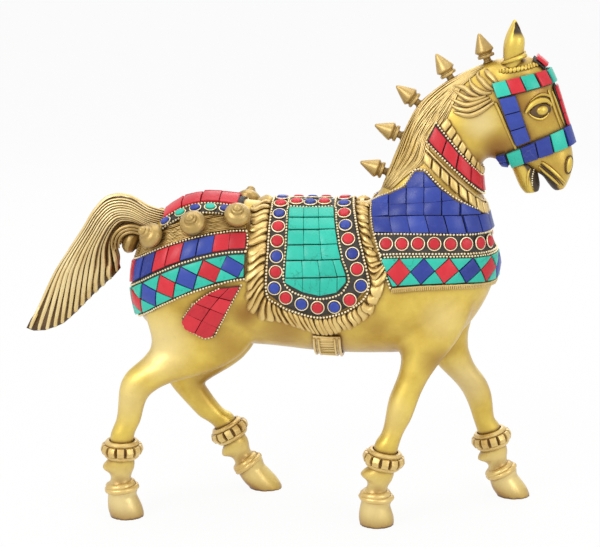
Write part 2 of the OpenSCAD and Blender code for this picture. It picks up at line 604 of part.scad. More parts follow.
// Saddle outlines on the unrolled body, [x, distance from the spine], from front to rear
plate_edge = [
  [27.5, 0], [28.5, 12], [31, 26], [34.5, 40], [37, 53], [32.5, 60.5], [22, 65], [12, 66.5],
  [2, 64], [-8, 60], [-13.8, 54], [-13.6, 34], [-13.5, 0]
];
frill_drop = 77;
frill_edge = [
  [34.4, 0], [35, 12], [37, 28], [43, 43], [46.4, 58], [39, 67], [27, 73.6], [15, frill_drop],
  [4, 73.6], [-8, 69.8], [-23, 65], [-23.2, 35], [-23.3, 0]
];
plate_rear = -13.6;
plate_front = [[0, 27.5], [12, 28.5], [26, 31], [40, 34.5], [53, 37], [60, 37]];
plate_drop = [[0, 55], [0.12, 60], [0.3, 64], [0.5, 66.2], [0.7, 65], [0.87, 60.5], [1, 53]];
function plate_place(u, v, rim) =
  let (g = v * (lookup(u, plate_drop) - rim),
       x = mix(plate_rear + rim, lookup(abs(g), plate_front) - rim, u))
  place(girth_spot(x, g));
module saddle_layer(rim, h0, h1)
  plate([for (i = [-8:8]) [for (j = [0:6]) plate_place(j / 6, i / 8, rim)]], h0, h1);
module saddle_cloth() color(brass) saddle_layer(0.2, seat_clear, cloth_t);
module saddle_bed() color(lac) saddle_layer(0.9, cloth_t + seat_clear / 2, cloth_t + bed_t);

module saddle_frill() color(pale_brass) {
  half = 2 * pleats;
  edges = len(plate_edge) - 1;
  ways = concat([for (k = [0:half]) [k, -1]], [for (k = [half - 1:-1:1]) [k, 1]]);
  cols = len(ways);
  spots = [for (r = [0, 0.5, 1]) [for (w = ways)
    let (p = edges * w[0] / half, e = mix(station(plate_edge, p), station(frill_edge, p), r))
    place(girth_spot(e.x, w[1] * e.y))]];
  points = concat(
    [for (row = spots) for (q = row) raised(q, seat_clear)],
    [for (i = [0:2]) for (j = [0:cols - 1])
      raised(spots[i][j], frill_t - (j % 2) * pleat_depth - (i == 2 ? 0.5 : 0))]);
  n = 3 * cols;
  polyhedron(points, concat(
    [for (i = [0, 1]) for (j = [0:cols - 1])
      let (k = (j + 1) % cols, p = i * cols, q = p + cols)
      each [[n + p + j, n + q + j, n + q + k], [n + p + j, n + q + k, n + p + k],
            [p + j, q + k, q + j], [p + j, p + k, q + k]]],
    [for (j = [0:cols - 1])
      let (k = (j + 1) % cols, q = 2 * cols)
      each [[j, n + j, n + k], [j, n + k, k],
            [q + j, n + q + k, n + q + j], [q + j, q + k, n + q + k]]]));
}

// Turquoise rows, [distance from the spine, rear x, front x]
saddle_rows = [
  [10.8, -4, 17.6], [17.6, -3.8, 18.4], [24.2, -3.5, 19.4], [31.7, -3.4, 20.8], [39, -3.6, 22.6],
  [47, -3.9, 25.4]
];
// Shares of the width at which the upper and the lower rows are parted
saddle_upper = [0, 0.33, 0.66, 1];
saddle_lower = [0, 0.29, 0.58, 0.86, 1];
// Distance from the spine of the rounded lower end at each part of the last row
saddle_end = [49.2, 53.6, 55.6, 54.2, 49.6];
saddle_last = len(saddle_rows) - 1;
function saddle_parts(i) = i < saddle_last - 1 ? saddle_upper : saddle_lower;
function saddle_spot(side, i, j, u) =
  i > saddle_last ? [mix(saddle_rows[saddle_last][1], saddle_rows[saddle_last][2], u), side * saddle_end[j]]
  : [mix(saddle_rows[i][1], saddle_rows[i][2], u), side * saddle_rows[i][0]];
module saddle_turquoise() color(turquoise)
  for (side = [-1, 1]) for (i = [0:saddle_last]) let (parts = saddle_parts(i)) for (k = [0:len(parts) - 2]) {
    corners = [saddle_spot(side, i, k, parts[k]), saddle_spot(side, i, k + 1, parts[k + 1]),
               saddle_spot(side, i + 1, k + 1, parts[k + 1]), saddle_spot(side, i + 1, k, parts[k])];
    c = (corners[0] + corners[1] + corners[2] + corners[3]) / 4;
    stone([for (q = corners) place(girth_spot(q.x, q.y))], place(girth_spot(c.x, c.y)), cloth_t);
  }
saddle_red = [[-1.1, 5.2], [12.7, 5.2], [-8.8, 7.4], [-8.6, 22.2], [-8.6, 29.6], [-8.7, 44.2],
  [-3.6, 56], [11.9, 60.8], [27.3, 57.8], [30.6, 44], [25.9, 29.3], [23.2, 14.7]];
saddle_blue = [[5.8, 6], [-8.7, 14.8], [-8.6, 36.9], [-9.2, 51.6], [4.1, 59], [20, 60.7], [32.6, 51.8],
  [28.2, 36.7], [24.2, 22], [22.6, 7.4]];
spine_red = [[22.4, 0]];
spine_blue = [[-8.8, 0]];
module each_stud(list, middle) {
  for (side = [-1, 1]) for (c = list) {
    $q = place(girth_spot(c.x, side * c.y));
    children();
  }
  for (c = middle) {
    $q = place(girth_spot(c.x, 0));
    children();
  }
}
module saddle_red_studs() color(red_stone) each_stud(saddle_red, spine_red) stud($q, cloth_t);
module saddle_blue_studs() color(blue_stone) each_stud(saddle_blue, spine_blue) stud($q, cloth_t);
module saddle_bezels() color(pale_brass) {
  each_stud(saddle_red, spine_red) bezel($q, cloth_t);
  each_stud(saddle_blue, spine_blue) bezel($q, cloth_t);
}

girth_x = 15.6;
girth_gap = 0.6;
module girth_strap() color(pale_brass) {
  from = lookup(frill_drop + girth_gap, girth_table(seek(body, girth_x, 110, 0, 17, 16)));
  plate([for (i = [0:10]) [for (x = [-1, 0, 1])
    place([seek(body, girth_x + x * girth_w / 2, 110, 0, 17, 16),
           mix(from, 360 - from, i / 10)])]], seat_clear, strap_t);
}

// Breast lines, [x0, z0, x1, z1, bow]
blue_top = [37.5, 152.8, 105, 152.8, 2.8];
stud_top = [38.6, 146.4, 105, 145.6, 1.4];
stud_low = [41.8, 137, 105, 136.2, 1.2];
diamond_low = [47.3, 122.2, 105, 121.4, 1.8];
comb_low = diamond_low - [0, comb_len, 0, comb_len, 0];
edge_gap = 0.5;
function lower(line, d) = line - [0, d, 0, d, 0];
// Upper blue field: columns, row lines [x0, z0, x1, z1] and outline from the front up and over
blue_columns = [37.4, 45.6, 53.8, 62, 70.2, 78.4, 87.6];
blue_lines = [[37.4, 158.2, 78.4, 163.2], [37.4, 165.9, 70.2, 169.2], [37.4, 177, 70.2, 177]];
blue_edge = [
  [87.4, 156.3], [77, 162.2], [68.8, 168.4], [61.8, 175.6], [57.8, 175.4], [52.4, 167.4], [40.5, 161]
];
// Outline edges that bound each row
blue_cuts = [[0], [1, 5], [2, 3, 4]];
smallest_cell = 6;
function side_row(x0, z0, x1, z1, count) =
  even([for (i = [0:16]) spot_at(mix(x0, x1, i / 16), mix(z0, z1, i / 16))], count);
// Rows of the bed under it, [rear x, rear z, front x, front z]
blue_bed_rows = [[57.6, 175.3, 61.9, 175.5], [52.2, 167.4, 69.6, 168], [42.6, 162.4, 75.6, 163.2],
  [37.2, 158.4, 82.4, 159.2]];
blue_bed_cols = 10;
// Side of the line from p to q on which c lies, left positive
function left_of(c, p, q) = (q.x - p.x) * (c.y - p.y) - (q.y - p.y) * (c.x - p.x);
// The part of a flat outline to the left of that line
function clipped(outline, p, q) = [
  for (i = [0:len(outline) - 1])
    let (a = outline[i], b = outline[(i + 1) % len(outline)], da = left_of(a, p, q), db = left_of(b, p, q))
    each concat(da >= 0 ? [a] : [], da * db < 0 ? [mix(a, b, da / (da - db))] : [])];
function clipped_all(outline, cuts, i = 0) =
  i == len(cuts) || len(outline) < 3 ? outline
    : clipped_all(clipped(outline, blue_edge[cuts[i]], blue_edge[cuts[i] + 1]), cuts, i + 1);
function area(outline) = len(outline) < 3 ? 0
  : [for (i = [1:len(outline) - 2]) left_of(outline[i + 1], outline[0], outline[i]) / 2]
    * [for (i = [1:len(outline) - 2]) 1];
function middle_of(outline) = [for (c = outline) 1] * outline / len(outline);
function blue_z(i, x) =
  i < 0 ? line_at(blue_top, (x - blue_top[0]) / (blue_top[2] - blue_top[0])).y + 0.15
        : let (q = blue_lines[i]) mix(q[1], q[3], (x - q[0]) / (q[2] - q[0]));
// One cell of the upper field, counterclockwise from below
function blue_cell(i, k) =
  let (x0 = blue_columns[k], x1 = blue_columns[k + 1])
  clipped_all([[x0, blue_z(i - 1, x0)], [x1, blue_z(i - 1, x1)], [x1, blue_z(i, x1)], [x0, blue_z(i, x0)]],
              blue_cuts[i]);
module breast_bed() color(lac) {
  lines = [blue_top, (blue_top + stud_top) / 2, stud_top, (stud_top + stud_low) / 2, stud_low,
    mix(stud_low, diamond_low, 1 / 3), mix(stud_low, diamond_low, 2 / 3), diamond_low];
  plate([for (line = lines) chest_places(band_row(line, 9))], seat_clear, bed_t);
  for (side = [-1, 1]) {
    upper = concat([for (q = blue_bed_rows) side_row(q[0], q[1], q[2], q[3], blue_bed_cols)],
                   [band_row(lower(blue_top, -0.15), blue_bed_cols)]);
    rows = [for (line = upper) [for (q = line) place(sided(q, side))]];
    plate(side > 0 ? rows : [for (row = rows) [for (k = [blue_bed_cols:-1:0]) row[k]]], seat_clear, bed_t);
  }
}
module breast_blue_stones() color(blue_stone) {
  band_stones(blue_top, stud_top, 8, [true]);
  for (side = [-1, 1]) for (i = [0:len(blue_lines) - 1]) for (k = [0:len(blue_columns) - 2]) {
    outline = blue_cell(i, k);
    if (area(outline) > smallest_cell)
      stone([for (c = outline) place(sided(spot_at(c.x, c.y), side))],
            let (c = middle_of(outline)) place(sided(spot_at(c.x, c.y), side)));
  }
}
module each_breast_stud() {
  row = band_row((stud_top + stud_low) / 2, 2 * breast_studs);
  for (side = [-1, 1]) for (k = [0:breast_studs - 1]) {
    $q = place(sided(row[2 * k + 1], side));
    children();
  }
}
module breast_red_studs() color(red_stone) each_breast_stud() stud($q);
module breast_bezels() color(pale_brass) each_breast_stud() bezel($q);
// Strip left for the second line of beads
breast_gap = 1.8;
diamond_top = lower(stud_low, breast_gap);
// Lean that sets the breast diamonds upright, in eighths of their length
breast_lean = 2;
diamond_edge = lower(diamond_low, -edge_gap);
module breast_red_diamonds() color(red_stone)
  band_diamonds(diamond_top, diamond_edge, breast_diamonds, 0, breast_lean);
module breast_blue_diamonds() color(blue_stone)
  band_diamonds(diamond_top, diamond_edge, breast_diamonds, 1, breast_lean);
module breast_turquoise() color(turquoise)
  band_triangles(diamond_top, diamond_edge, breast_diamonds, breast_lean);
module breast_comb() color(pale_brass) {
  n = 2 * comb_teeth;
  top = chest_places(band_row(lower(diamond_low, 0.2), n));
  short = chest_places(band_row(lower(diamond_low, 0.9), n));
  long = chest_places(band_row(comb_low, n));
  plate([top, [for (k = [0:2 * n]) k % 2 == 0 ? short[k] : long[k]]], seat_clear, strap_t);
}

// Neck collar rings, by station
collar_from = 62;
module collar_bed() color(lac)
  plate([for (s = [20.65, 20.1, 19.5]) chest_places(ring_row(s, collar_from, 180, 8))], seat_clear, bed_t);
module ring_stones(high, low, from, count, base, t) {
  top = ring_row(high, from, 180, count);
  bottom = ring_row(low, from, 180, count);
  for (side = [-1, 1]) for (k = [0:count - 1])
    stone([place(sided(top[k], side)), place(sided(top[k + 1], side)),
           place(sided(bottom[k + 1], side)), place(sided(bottom[k], side))],
          place(sided((top[k] + top[k + 1] + bottom[k + 1] + bottom[k]) / 4, side)), base, t);
}
module collar_red_stones() color(red_stone)
  ring_stones(20.55, 19.6, collar_from + 2, collar_stones, 0, stone_t);
module collar_blocks() color(pale_brass) {
  ring_stones(21.4, 20.75, collar_from + 6, collar_blocks_n, -bed_t, strap_t + 0.6);
  ring_stones(18.9, 18.2, collar_from, collar_blocks_n, -bed_t, strap_t + 0.6);
}

// Rump lines, [x0, z0, x1, z1, bow]
strap_top = [-24.6, 152.4, -92, 128.6, 6];
strap_low = [-24.4, 147.3, -92, 121.4, 6.6];
rump_top = [-24.2, 145.1, -92, 120.2, 6.6];
rump_mid = [-24.2, 137, -92, 108.4, 7];
rump_low = [-24.4, 125, -92, 91, 6.3];
rump_gap = 1.2;
module crupper_strap() color(brass)
  plate([for (line = [strap_top, (strap_top + strap_low) / 2, strap_low])
    rump_places(band_row(line, 9))], seat_clear, strap_t);
module rump_bed() color(lac) {
  plate([for (line = [rump_top, (rump_top + rump_mid) / 2, rump_mid,
                      mix(rump_mid, rump_low, 1 / 3), mix(rump_mid, rump_low, 2 / 3), rump_low])
    rump_places(band_row(line, 10))], seat_clear, bed_t);
  plate([for (g = [-18, -12, -6, 0, 6, 12, 18]) [for (x = [-66.5, -56, -46, -36, -27.5])
    place(girth_spot(x, g))]], seat_clear, bed_t);
}
top_cells = [-66, -57, -48, -39, -30];
module rump_top_stones() color(red_stone)
  for (side = [-1, 1]) for (k = [0:len(top_cells) - 2])
    stone([for (c = [[k, 0.2], [k + 1, 0.2], [k + 1, 10.5], [k, 10.5]])
             place(girth_spot(top_cells[c.x], side * c.y))],
          place(girth_spot((top_cells[k] + top_cells[k + 1]) / 2, side * 5.4)));
module each_oval(list) for (side = [-1, 1]) for (x = list) {
  $q = place(girth_spot(x, side * 14.6));
  children();
}
oval_turquoise = [-57.2, -42.8];
oval_blue = [-64.4, -50, -35.6];
module rump_oval_turquoise() color(turquoise) each_oval(oval_turquoise) oval($q);
module rump_oval_blue() color(blue_stone) each_oval(oval_blue) oval($q);
module rump_bezels() color(pale_brass) {
  each_oval(oval_turquoise) oval_bezel($q);
  each_oval(oval_blue) oval_bezel($q);
}
red_places = [true, true, false, false];
blue_places = [false, false, true, true];
rump_edge = lower(rump_mid, -rump_gap);
module rump_red_stones() color(red_stone) band_stones(rump_top, rump_edge, rump_stones, red_places);
module rump_blue_stones() color(blue_stone) band_stones(rump_top, rump_edge, rump_stones, blue_places);
// Lean of the rump diamonds, in eighths of their length
rump_lean = 2;
rump_diamond_top = lower(rump_mid, rump_gap);
rump_diamond_low = lower(rump_low, -edge_gap);
module rump_red_diamonds() color(red_stone)
  band_diamonds(rump_diamond_top, rump_diamond_low, rump_diamonds, 1, rump_lean);
module rump_blue_diamonds() color(blue_stone)
  band_diamonds(rump_diamond_top, rump_diamond_low, rump_diamonds, 0, rump_lean);
module rump_turquoise() color(turquoise)
  band_triangles(rump_diamond_top, rump_diamond_low, rump_diamonds, rump_lean);

// Pot-shaped bells on the strap, three to a side and one behind under the tail
bell_x = [-29, -49, -68];
module bell(q) {
  r = bell_d / 2;
  k = bell_knob_d / 2;
  multmatrix(frame(raised(q, strap_t - 0.1), q[1], along(q[1]))) rotate_extrude($fn = 40)
    polygon([[0, 0], [r * 0.5, 0], [r * 0.45, 0.8], [r * 0.8, 1.8], [r, 4], [r * 0.96, 5.8],
             [r * 0.72, 7.6], [r * 0.5, 8.2], [k, 8.8], [k, 9.8], [k * 0.7, 10.4], [k * 0.75, 11.4],
             [k * 0.3, 12.6], [0, 13]]);
}
module crupper_bells() color(pale_brass) {
  middle = mix(strap_top, strap_low, 0.35);
  for (side = [-1, 1]) for (x = bell_x) {
    p = line_at(middle, (x - middle[0]) / (middle[2] - middle[0]));
    bell(place(sided(spot_at(x, p.y), side)));
  }
  bell(place(band_row(middle, 2)[2]));
}

// Red patch on each thigh, over trunk and upper leg together
thigh_corners = [[-36.2, 120], [-26.4, 121.2], [-41.4, 93.4], [-56, 100.4]];
// Lower end rounded: share of the width and of the length cut from each corner
thigh_cut = [0.18, 0.08];
function leg_out(list, x, z) =
  let (s = seek(list, x, z, 0, 6, 16, -1), q = station(list, s), c = share(q, x, z))
  abs(c) < 1 ? abs(q[6]) + q[4] * sqrt(1 - c * c) : 0;
// The bed bridges the crease between trunk and leg in a soft hollow
crease_fill = 5;
function flank_out(list, x, z) =
  let (t = spot_at(x, z), a = abs(skin(body, t[0], t[1]).y), b = leg_out(list, x, z))
  (a + b + sqrt((a - b) * (a - b) + crease_fill * crease_fill)) / 2;
function flank(side, x, z) =
  let (list = side < 0 ? right_hind_all : left_hind_all,
       e = 6,
       dx = (flank_out(list, x + e, z) - flank_out(list, x - e, z)) / (2 * e),
       dz = (flank_out(list, x, z + e) - flank_out(list, x, z - e)) / (2 * e))
  [[x, side * flank_out(list, x, z), z], unit([-dx, side, -dz])];
// Swell of the rear edge half way down
thigh_swell = [-1.6, 2.8];
function thigh_place(side, u, v) =
  let (p = mix(mix(thigh_corners[0], thigh_corners[1], u), mix(thigh_corners[3], thigh_corners[2], u), v)
         + (1 - u) * 4 * v * (1 - v) * thigh_swell)
  flank(side, p.x, p.y);
thigh_cols = 2;
thigh_rows = 4;
module thigh_bed() color(lac) for (side = [-1, 1])
  plate([for (i = [0:thigh_rows + 1]) [for (j = [0:2 * thigh_cols])
    let (v = i < thigh_rows ? i / thigh_rows : i > thigh_rows ? 1 : 1 - thigh_cut.y,
         u = j / 2 / thigh_cols,
         w = i > thigh_rows ? mix(thigh_cut.x, 1 - thigh_cut.x, u) : u)
    thigh_place(side, side > 0 ? w : 1 - w, v)]],
    seat_clear, bed_t);
// Corners of one stone as shares of width and length
function thigh_cell(j, i) =
  let (u0 = j / thigh_cols, u1 = (j + 1) / thigh_cols, v0 = i / thigh_rows, v1 = (i + 1) / thigh_rows,
       last = i == thigh_rows - 1)
  concat([[u0, v0], [u1, v0]],
         last && j == thigh_cols - 1 ? [[1, 1 - thigh_cut.y], [1 - thigh_cut.x, 1]] : [[u1, v1]],
         last && j == 0 ? [[thigh_cut.x, 1], [0, 1 - thigh_cut.y]] : [[u0, v1]]);
module thigh_red_stones() color(red_stone)
  for (side = [-1, 1]) for (i = [0:thigh_rows - 1]) for (j = [0:thigh_cols - 1])
    stone([for (c = thigh_cell(j, i)) thigh_place(side, c.x, c.y)],
          thigh_place(side, (j + 0.5) / thigh_cols, (i + 0.5) / thigh_rows), 0.15);

// Bridle lines, [x0, z0, x1, z1, bow]
brow_top = [93, 217.9, 135, 228, 0];
brow_low = [95.6, 211.2, 135, 221, 0];
nose_top = [100.8, 185, 145, 203, 0.8];
nose_low = [103.4, 178.2, 145, 193, 0];
cheek_top = [96.2, 211, 104, 212.8];
cheek_low = [105, 188.8, 111.8, 191.6];
cheek_stones = 3;
function cheek_row(v, count) =
  let (q = mix(cheek_top, cheek_low, v)) side_row(q[0], q[1], q[2], q[3], count);
face_from = 27.6;
face_to = 29.86;
face_half = 22;
face_stones = 3;
function face_spot(u, v) = [mix(face_from, face_to, v), mix(-face_half, face_half, u)];
crown_from = 25.85;
crown_to = 26.65;
function crown_spot(u, v) = [mix(crown_from, crown_to, v), mix(-face_half, face_half, u)];
// Stones under each side of the jaw, corners as station and angle
jaw_corners = [spot_at(95.8, 183.4), spot_at(100, 185), spot_at(102.6, 178.6), [25.2, 173]];
function jaw_spot(side, u, v) =
  sided(mix(mix(jaw_corners[0], jaw_corners[1], u), mix(jaw_corners[3], jaw_corners[2], u), v), side);
module bridle_bed() color(lac) {
  plate([for (t = [0, 0.5, 1]) chest_places(band_row(mix(brow_top, brow_low, t), 6))], seat_clear, bed_t);
  plate([for (t = [0, 0.5, 1]) chest_places(band_row(mix(nose_top, nose_low, t), 6))], seat_clear, bed_t);
  for (side = [-1, 1])
    plate([for (i = [0:4]) let (row = cheek_row(i / 4, 2))
      [for (k = [0:2]) place(sided(row[side > 0 ? k : 2 - k], side))]], seat_clear, bed_t);
  plate([for (j = [0:2]) [for (i = [0:4]) place(face_spot(j / 2, i / 4))]], seat_clear, bed_t);
  plate([for (j = [0:2]) [for (i = [0:2]) place(crown_spot(j / 2, i / 2))]], seat_clear, bed_t);
  for (side = [-1, 1])
    plate([for (i = [0:2]) [for (j = [0:2])
      place(jaw_spot(side, j / 2, side > 0 ? i / 2 : 1 - i / 2))]], seat_clear, bed_t);
}
brow_turquoise = [true, false];
brow_red = [false, true];
nose_turquoise = [true, false, false];
nose_blue = [false, true, true];
module bridle_turquoise() color(turquoise) {
  band_stones(brow_top, brow_low, 5, brow_turquoise);
  band_stones(nose_top, nose_low, 5, nose_turquoise);
}
module bridle_red_stones() color(red_stone) {
  band_stones(brow_top, brow_low, 5, brow_red);
  for (k = [0:face_stones - 1])
    stone([for (c = [[0, k], [1, k], [1, k + 1], [0, k + 1]]) place(face_spot(c.x, c.y / face_stones))],
          place(face_spot(0.5, (k + 0.5) / face_stones)));
  stone([for (c = [[0, 0], [1, 0], [1, 1], [0, 1]]) place(crown_spot(c.x, c.y))],
        place(crown_spot(0.5, 0.5)));
}
module bridle_blue_stones() color(blue_stone) {
  band_stones(nose_top, nose_low, 5, nose_blue);
  for (side = [-1, 1]) for (k = [0:cheek_stones - 1]) {
    top = cheek_row(k / cheek_stones, 1);
    bottom = cheek_row((k + 1) / cheek_stones, 1);
    stone([place(sided(top[0], side)), place(sided(top[1], side)),
           place(sided(bottom[1], side)), place(sided(bottom[0], side))],
          place(sided((top[0] + top[1] + bottom[1] + bottom[0]) / 4, side)));
  }
  for (side = [-1, 1])
    for (v = [0, 0.5])
      stone([for (c = [[0, v], [1, v], [1, v + 0.5], [0, v + 0.5]]) place(jaw_spot(side, c.x, c.y))],
            place(jaw_spot(side, 0.5, v + 0.25)));
}

translate([to_centre, 0, 0]) trunk();
translate([to_centre, 0, 0]) head_and_neck();
translate([to_centre, 0, 0]) lower_jaw();
translate([to_centre, 0, 0]) ears();
translate([to_centre, 0, 0]) tail();
translate([to_centre, 0, 0]) right_hind_leg();
translate([to_centre, 0, 0]) left_hind_leg();
translate([to_centre, 0, 0]) right_fore_leg();
translate([to_centre, 0, 0]) left_fore_leg();
translate([to_centre, 0, 0]) right_hind_anklet();
translate([to_centre, 0, 0]) left_hind_anklet();
translate([to_centre, 0, 0]) right_fore_anklet();
translate([to_centre, 0, 0]) left_fore_anklet();
translate([to_centre, 0, 0]) mane_finials();
translate([to_centre, 0, 0]) crupper_bells();
translate([to_centre, 0, 0]) crupper_strap();
translate([to_centre, 0, 0]) girth_strap();
translate([to_centre, 0, 0]) saddle_cloth();
translate([to_centre, 0, 0]) saddle_frill();
translate([to_centre, 0, 0]) saddle_bed();
translate([to_centre, 0, 0]) saddle_turquoise();
translate([to_centre, 0, 0]) saddle_red_studs();
translate([to_centre, 0, 0]) saddle_blue_studs();
translate([to_centre, 0, 0]) saddle_bezels();
translate([to_centre, 0, 0]) breast_bed();
translate([to_centre, 0, 0]) breast_blue_stones();
translate([to_centre, 0, 0]) breast_red_studs();
translate([to_centre, 0, 0]) breast_bezels();
translate([to_centre, 0, 0]) breast_red_diamonds();
translate([to_centre, 0, 0]) breast_blue_diamonds();
translate([to_centre, 0, 0]) breast_turquoise();
translate([to_centre, 0, 0]) breast_comb();
translate([to_centre, 0, 0]) collar_bed();
translate([to_centre, 0, 0]) collar_red_stones();
translate([to_centre, 0, 0]) collar_blocks();
translate([to_centre, 0, 0]) rump_bed();
translate([to_centre, 0, 0]) rump_top_stones();
translate([to_centre, 0, 0]) rump_oval_turquoise();
translate([to_centre, 0, 0]) rump_oval_blue();
translate([to_centre, 0, 0]) rump_bezels();
translate([to_centre, 0, 0]) rump_red_stones();
translate([to_centre, 0, 0]) rump_blue_stones();
translate([to_centre, 0, 0]) rump_red_diamonds();
translate([to_centre, 0, 0]) rump_blue_diamonds();
translate([to_centre, 0, 0]) rump_turquoise();
translate([to_centre, 0, 0]) thigh_bed();
translate([to_centre, 0, 0]) thigh_red_stones();
translate([to_centre, 0, 0]) bridle_bed();
translate([to_centre, 0, 0]) bridle_turquoise();
translate([to_centre, 0, 0]) bridle_red_stones();
translate([to_centre, 0, 0]) bridle_blue_stones();
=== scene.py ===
"""Looks of a walking brass horse ornament set with stone mosaic.

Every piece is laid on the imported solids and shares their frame, in metres. The sizes held by the
classes are millimetres of the side-view drawing, with x from tail to head and z up from the ground.
A line on the unrolled barrel has x and the distance down the side from the spine.
"""
import logging
import math
import random
from collections.abc import Iterable, Sequence
from dataclasses import dataclass, field
from enum import Enum
from typing import ClassVar

import bmesh
import bpy
from mathutils import Matrix, Vector
from mathutils.bvhtree import BVHTree


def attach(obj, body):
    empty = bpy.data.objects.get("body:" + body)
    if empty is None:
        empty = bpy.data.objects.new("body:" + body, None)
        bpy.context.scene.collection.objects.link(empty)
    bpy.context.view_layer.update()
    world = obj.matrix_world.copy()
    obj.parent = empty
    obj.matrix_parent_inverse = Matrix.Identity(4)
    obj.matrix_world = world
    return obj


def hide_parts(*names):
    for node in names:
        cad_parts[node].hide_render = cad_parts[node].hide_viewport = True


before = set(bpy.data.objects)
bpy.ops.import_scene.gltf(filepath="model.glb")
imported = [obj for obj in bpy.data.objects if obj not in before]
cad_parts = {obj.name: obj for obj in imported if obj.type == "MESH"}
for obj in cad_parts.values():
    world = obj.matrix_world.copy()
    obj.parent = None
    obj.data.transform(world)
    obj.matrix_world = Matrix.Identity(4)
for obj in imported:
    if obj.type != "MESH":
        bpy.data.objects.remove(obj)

# Metres in a millimetre, the drawing's shift to the frame, and a distance that counts as none.
MM = 0.001
TO_CENTRE = 2.6
SAME = 1e-6
# Span of the angle at which a strand's wave starts, in radians.
PHASES = (0.0, 6.3)
LEGS = ("right_hind", "left_hind", "right_fore", "left_fore")
LOG = logging.getLogger("horse")

Pair = tuple[float, float]
Triple = tuple[float, float, float]
Colour = Triple
Line = tuple[Pair, ...]
# A soft round dab of colour: its centre, radius and strength.
Dab = tuple[float, float, float, float]
# A band line: start on the flank, a point beyond the body, and the rise at its middle.
Band = tuple[float, float, float, float, float]
Modifiers = Sequence[tuple[str, dict[str, object]]]


class Slot(Enum):
    """Material slots of the record."""

    SATIN = "satin_brass"
    PALE = "pale_brass"
    TURQUOISE = "turquoise_stone"
    RED = "red_stone"
    BLUE = "blue_stone"
    LAC = "lac_bed"


class Side(Enum):
    """Side of the horse, as the sign of Y."""

    RIGHT = -1
    LEFT = 1


def at(x: float, y: float, z: float) -> Vector:
    """Return the frame's point for drawing millimetres."""
    return Vector(((x + TO_CENTRE) * MM, y * MM, z * MM))


def mix(a: float, b: float, t: float) -> float:
    """Return the value a share t of the way from a to b."""
    return a + (b - a) * t


def held(value: float) -> float:
    """Return a value held between 0 and 1."""
    return max(0.0, min(1.0, value))


def spline(points: Sequence[Sequence[float]], t: float) -> list[float]:
    """Read a smooth curve through points.

    Args:
        points: Stations of any length.
        t: Station number, whole or part.

    Returns:
        The values at that station.
    """
    last = len(points) - 1
    i = max(0, min(int(t), last - 1))
    f = t - i
    p0, p1 = points[max(i - 1, 0)], points[i]
    p2, p3 = points[i + 1], points[min(i + 2, last)]
    return [0.5 * (2 * b + (c - a) * f + (2 * a - 5 * b + 4 * c - d) * f * f
                   + (3 * b - a - 3 * c + d) * f ** 3)
            for a, b, c, d in zip(p0, p1, p2, p3)]


def sampled(points: Sequence[Sequence[float]], per: int = 8) -> list[list[float]]:
    """Return the values along a smooth curve, this many for each station."""
    return [spline(points, i / per) for i in range((len(points) - 1) * per + 1)]


def turns(steps: int) -> list[float]:
    """Return the angles of a full turn in this many steps, first and last the same place."""
    return [math.radians(360 / steps * i) for i in range(steps + 1)]


@dataclass(frozen=True)
class Spot:
    """Place on the brass and its outward direction."""

    point: Vector
    normal: Vector

    def raised(self, height: float) -> Vector:
        """Return the point this many millimetres above the brass."""
        return self.point + self.normal * (height * MM)

    def mirrored(self) -> "Spot":
        """Return the same place on the other side of the horse."""
        flip = Vector((1, -1, 1))
        return Spot(self.point * flip, self.normal * flip)

    def flat(self, way: Vector) -> Vector:
        """Return a direction laid flat on the brass."""
        return (way - self.normal * way.dot(self.normal)).normalized()

    def toward(self, other: "Spot", share: float) -> "Spot":
        """Return the place a share of the way to another."""
        normal = self.normal.lerp(other.normal, share).normalized()
        return Spot(self.point.lerp(other.point, share), normal)


class Trail:
    """Row of places along the brass."""

    def __init__(self, spots: Iterable[Spot]) -> None:
        """Keep the places in order."""
        self.spots = list(spots)

    def mirrored(self) -> "Trail":
        """Return the row on the other side of the horse."""
        return Trail(s.mirrored() for s in self.spots)

    def even(self, pitch: float) -> list[Spot]:
        """Space places evenly along the row.

        Args:
            pitch: Spacing in millimetres.

        Returns:
            The spaced places.
        """
        lengths = [0.0]
        for a, b in zip(self.spots, self.spots[1:]):
            lengths.append(lengths[-1] + (b.point - a.point).length)
        count = max(1, round(lengths[-1] / (pitch * MM)))
        result, k = [], 0
        for i in range(count + 1):
            want = lengths[-1] * i / count
            while k < len(lengths) - 2 and lengths[k + 1] < want:
                k += 1
            span = max(lengths[k + 1] - lengths[k], SAME * MM)
            result.append(self.spots[k].toward(self.spots[k + 1], (want - lengths[k]) / span))
        return result


def merged_copy(*nodes: str) -> bmesh.types.BMesh:
    """Copy solids into one mesh and join their loose triangles.

    Args:
        nodes: Names of the solids.

    Returns:
        The merged mesh.
    """
    bm = bmesh.new()
    for name in nodes:
        bm.from_mesh(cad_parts[name].data)
    bmesh.ops.remove_doubles(bm, verts=bm.verts, dist=SAME)
    return bm


def islands(bm: bmesh.types.BMesh) -> list[list[bmesh.types.BMVert]]:
    """Part a mesh into its connected pieces.

    Args:
        bm: The mesh.

    Returns:
        The vertices of each piece.
    """
    seen: set[bmesh.types.BMVert] = set()
    groups = []
    for first in bm.verts:
        if first in seen:
            continue
        seen.add(first)
        group, stack = [], [first]
        while stack:
            vert = stack.pop()
            group.append(vert)
            for edge in vert.link_edges:
                other = edge.other_vert(vert)
                if other not in seen:
                    seen.add(other)
                    stack.append(other)
        groups.append(group)
    return groups


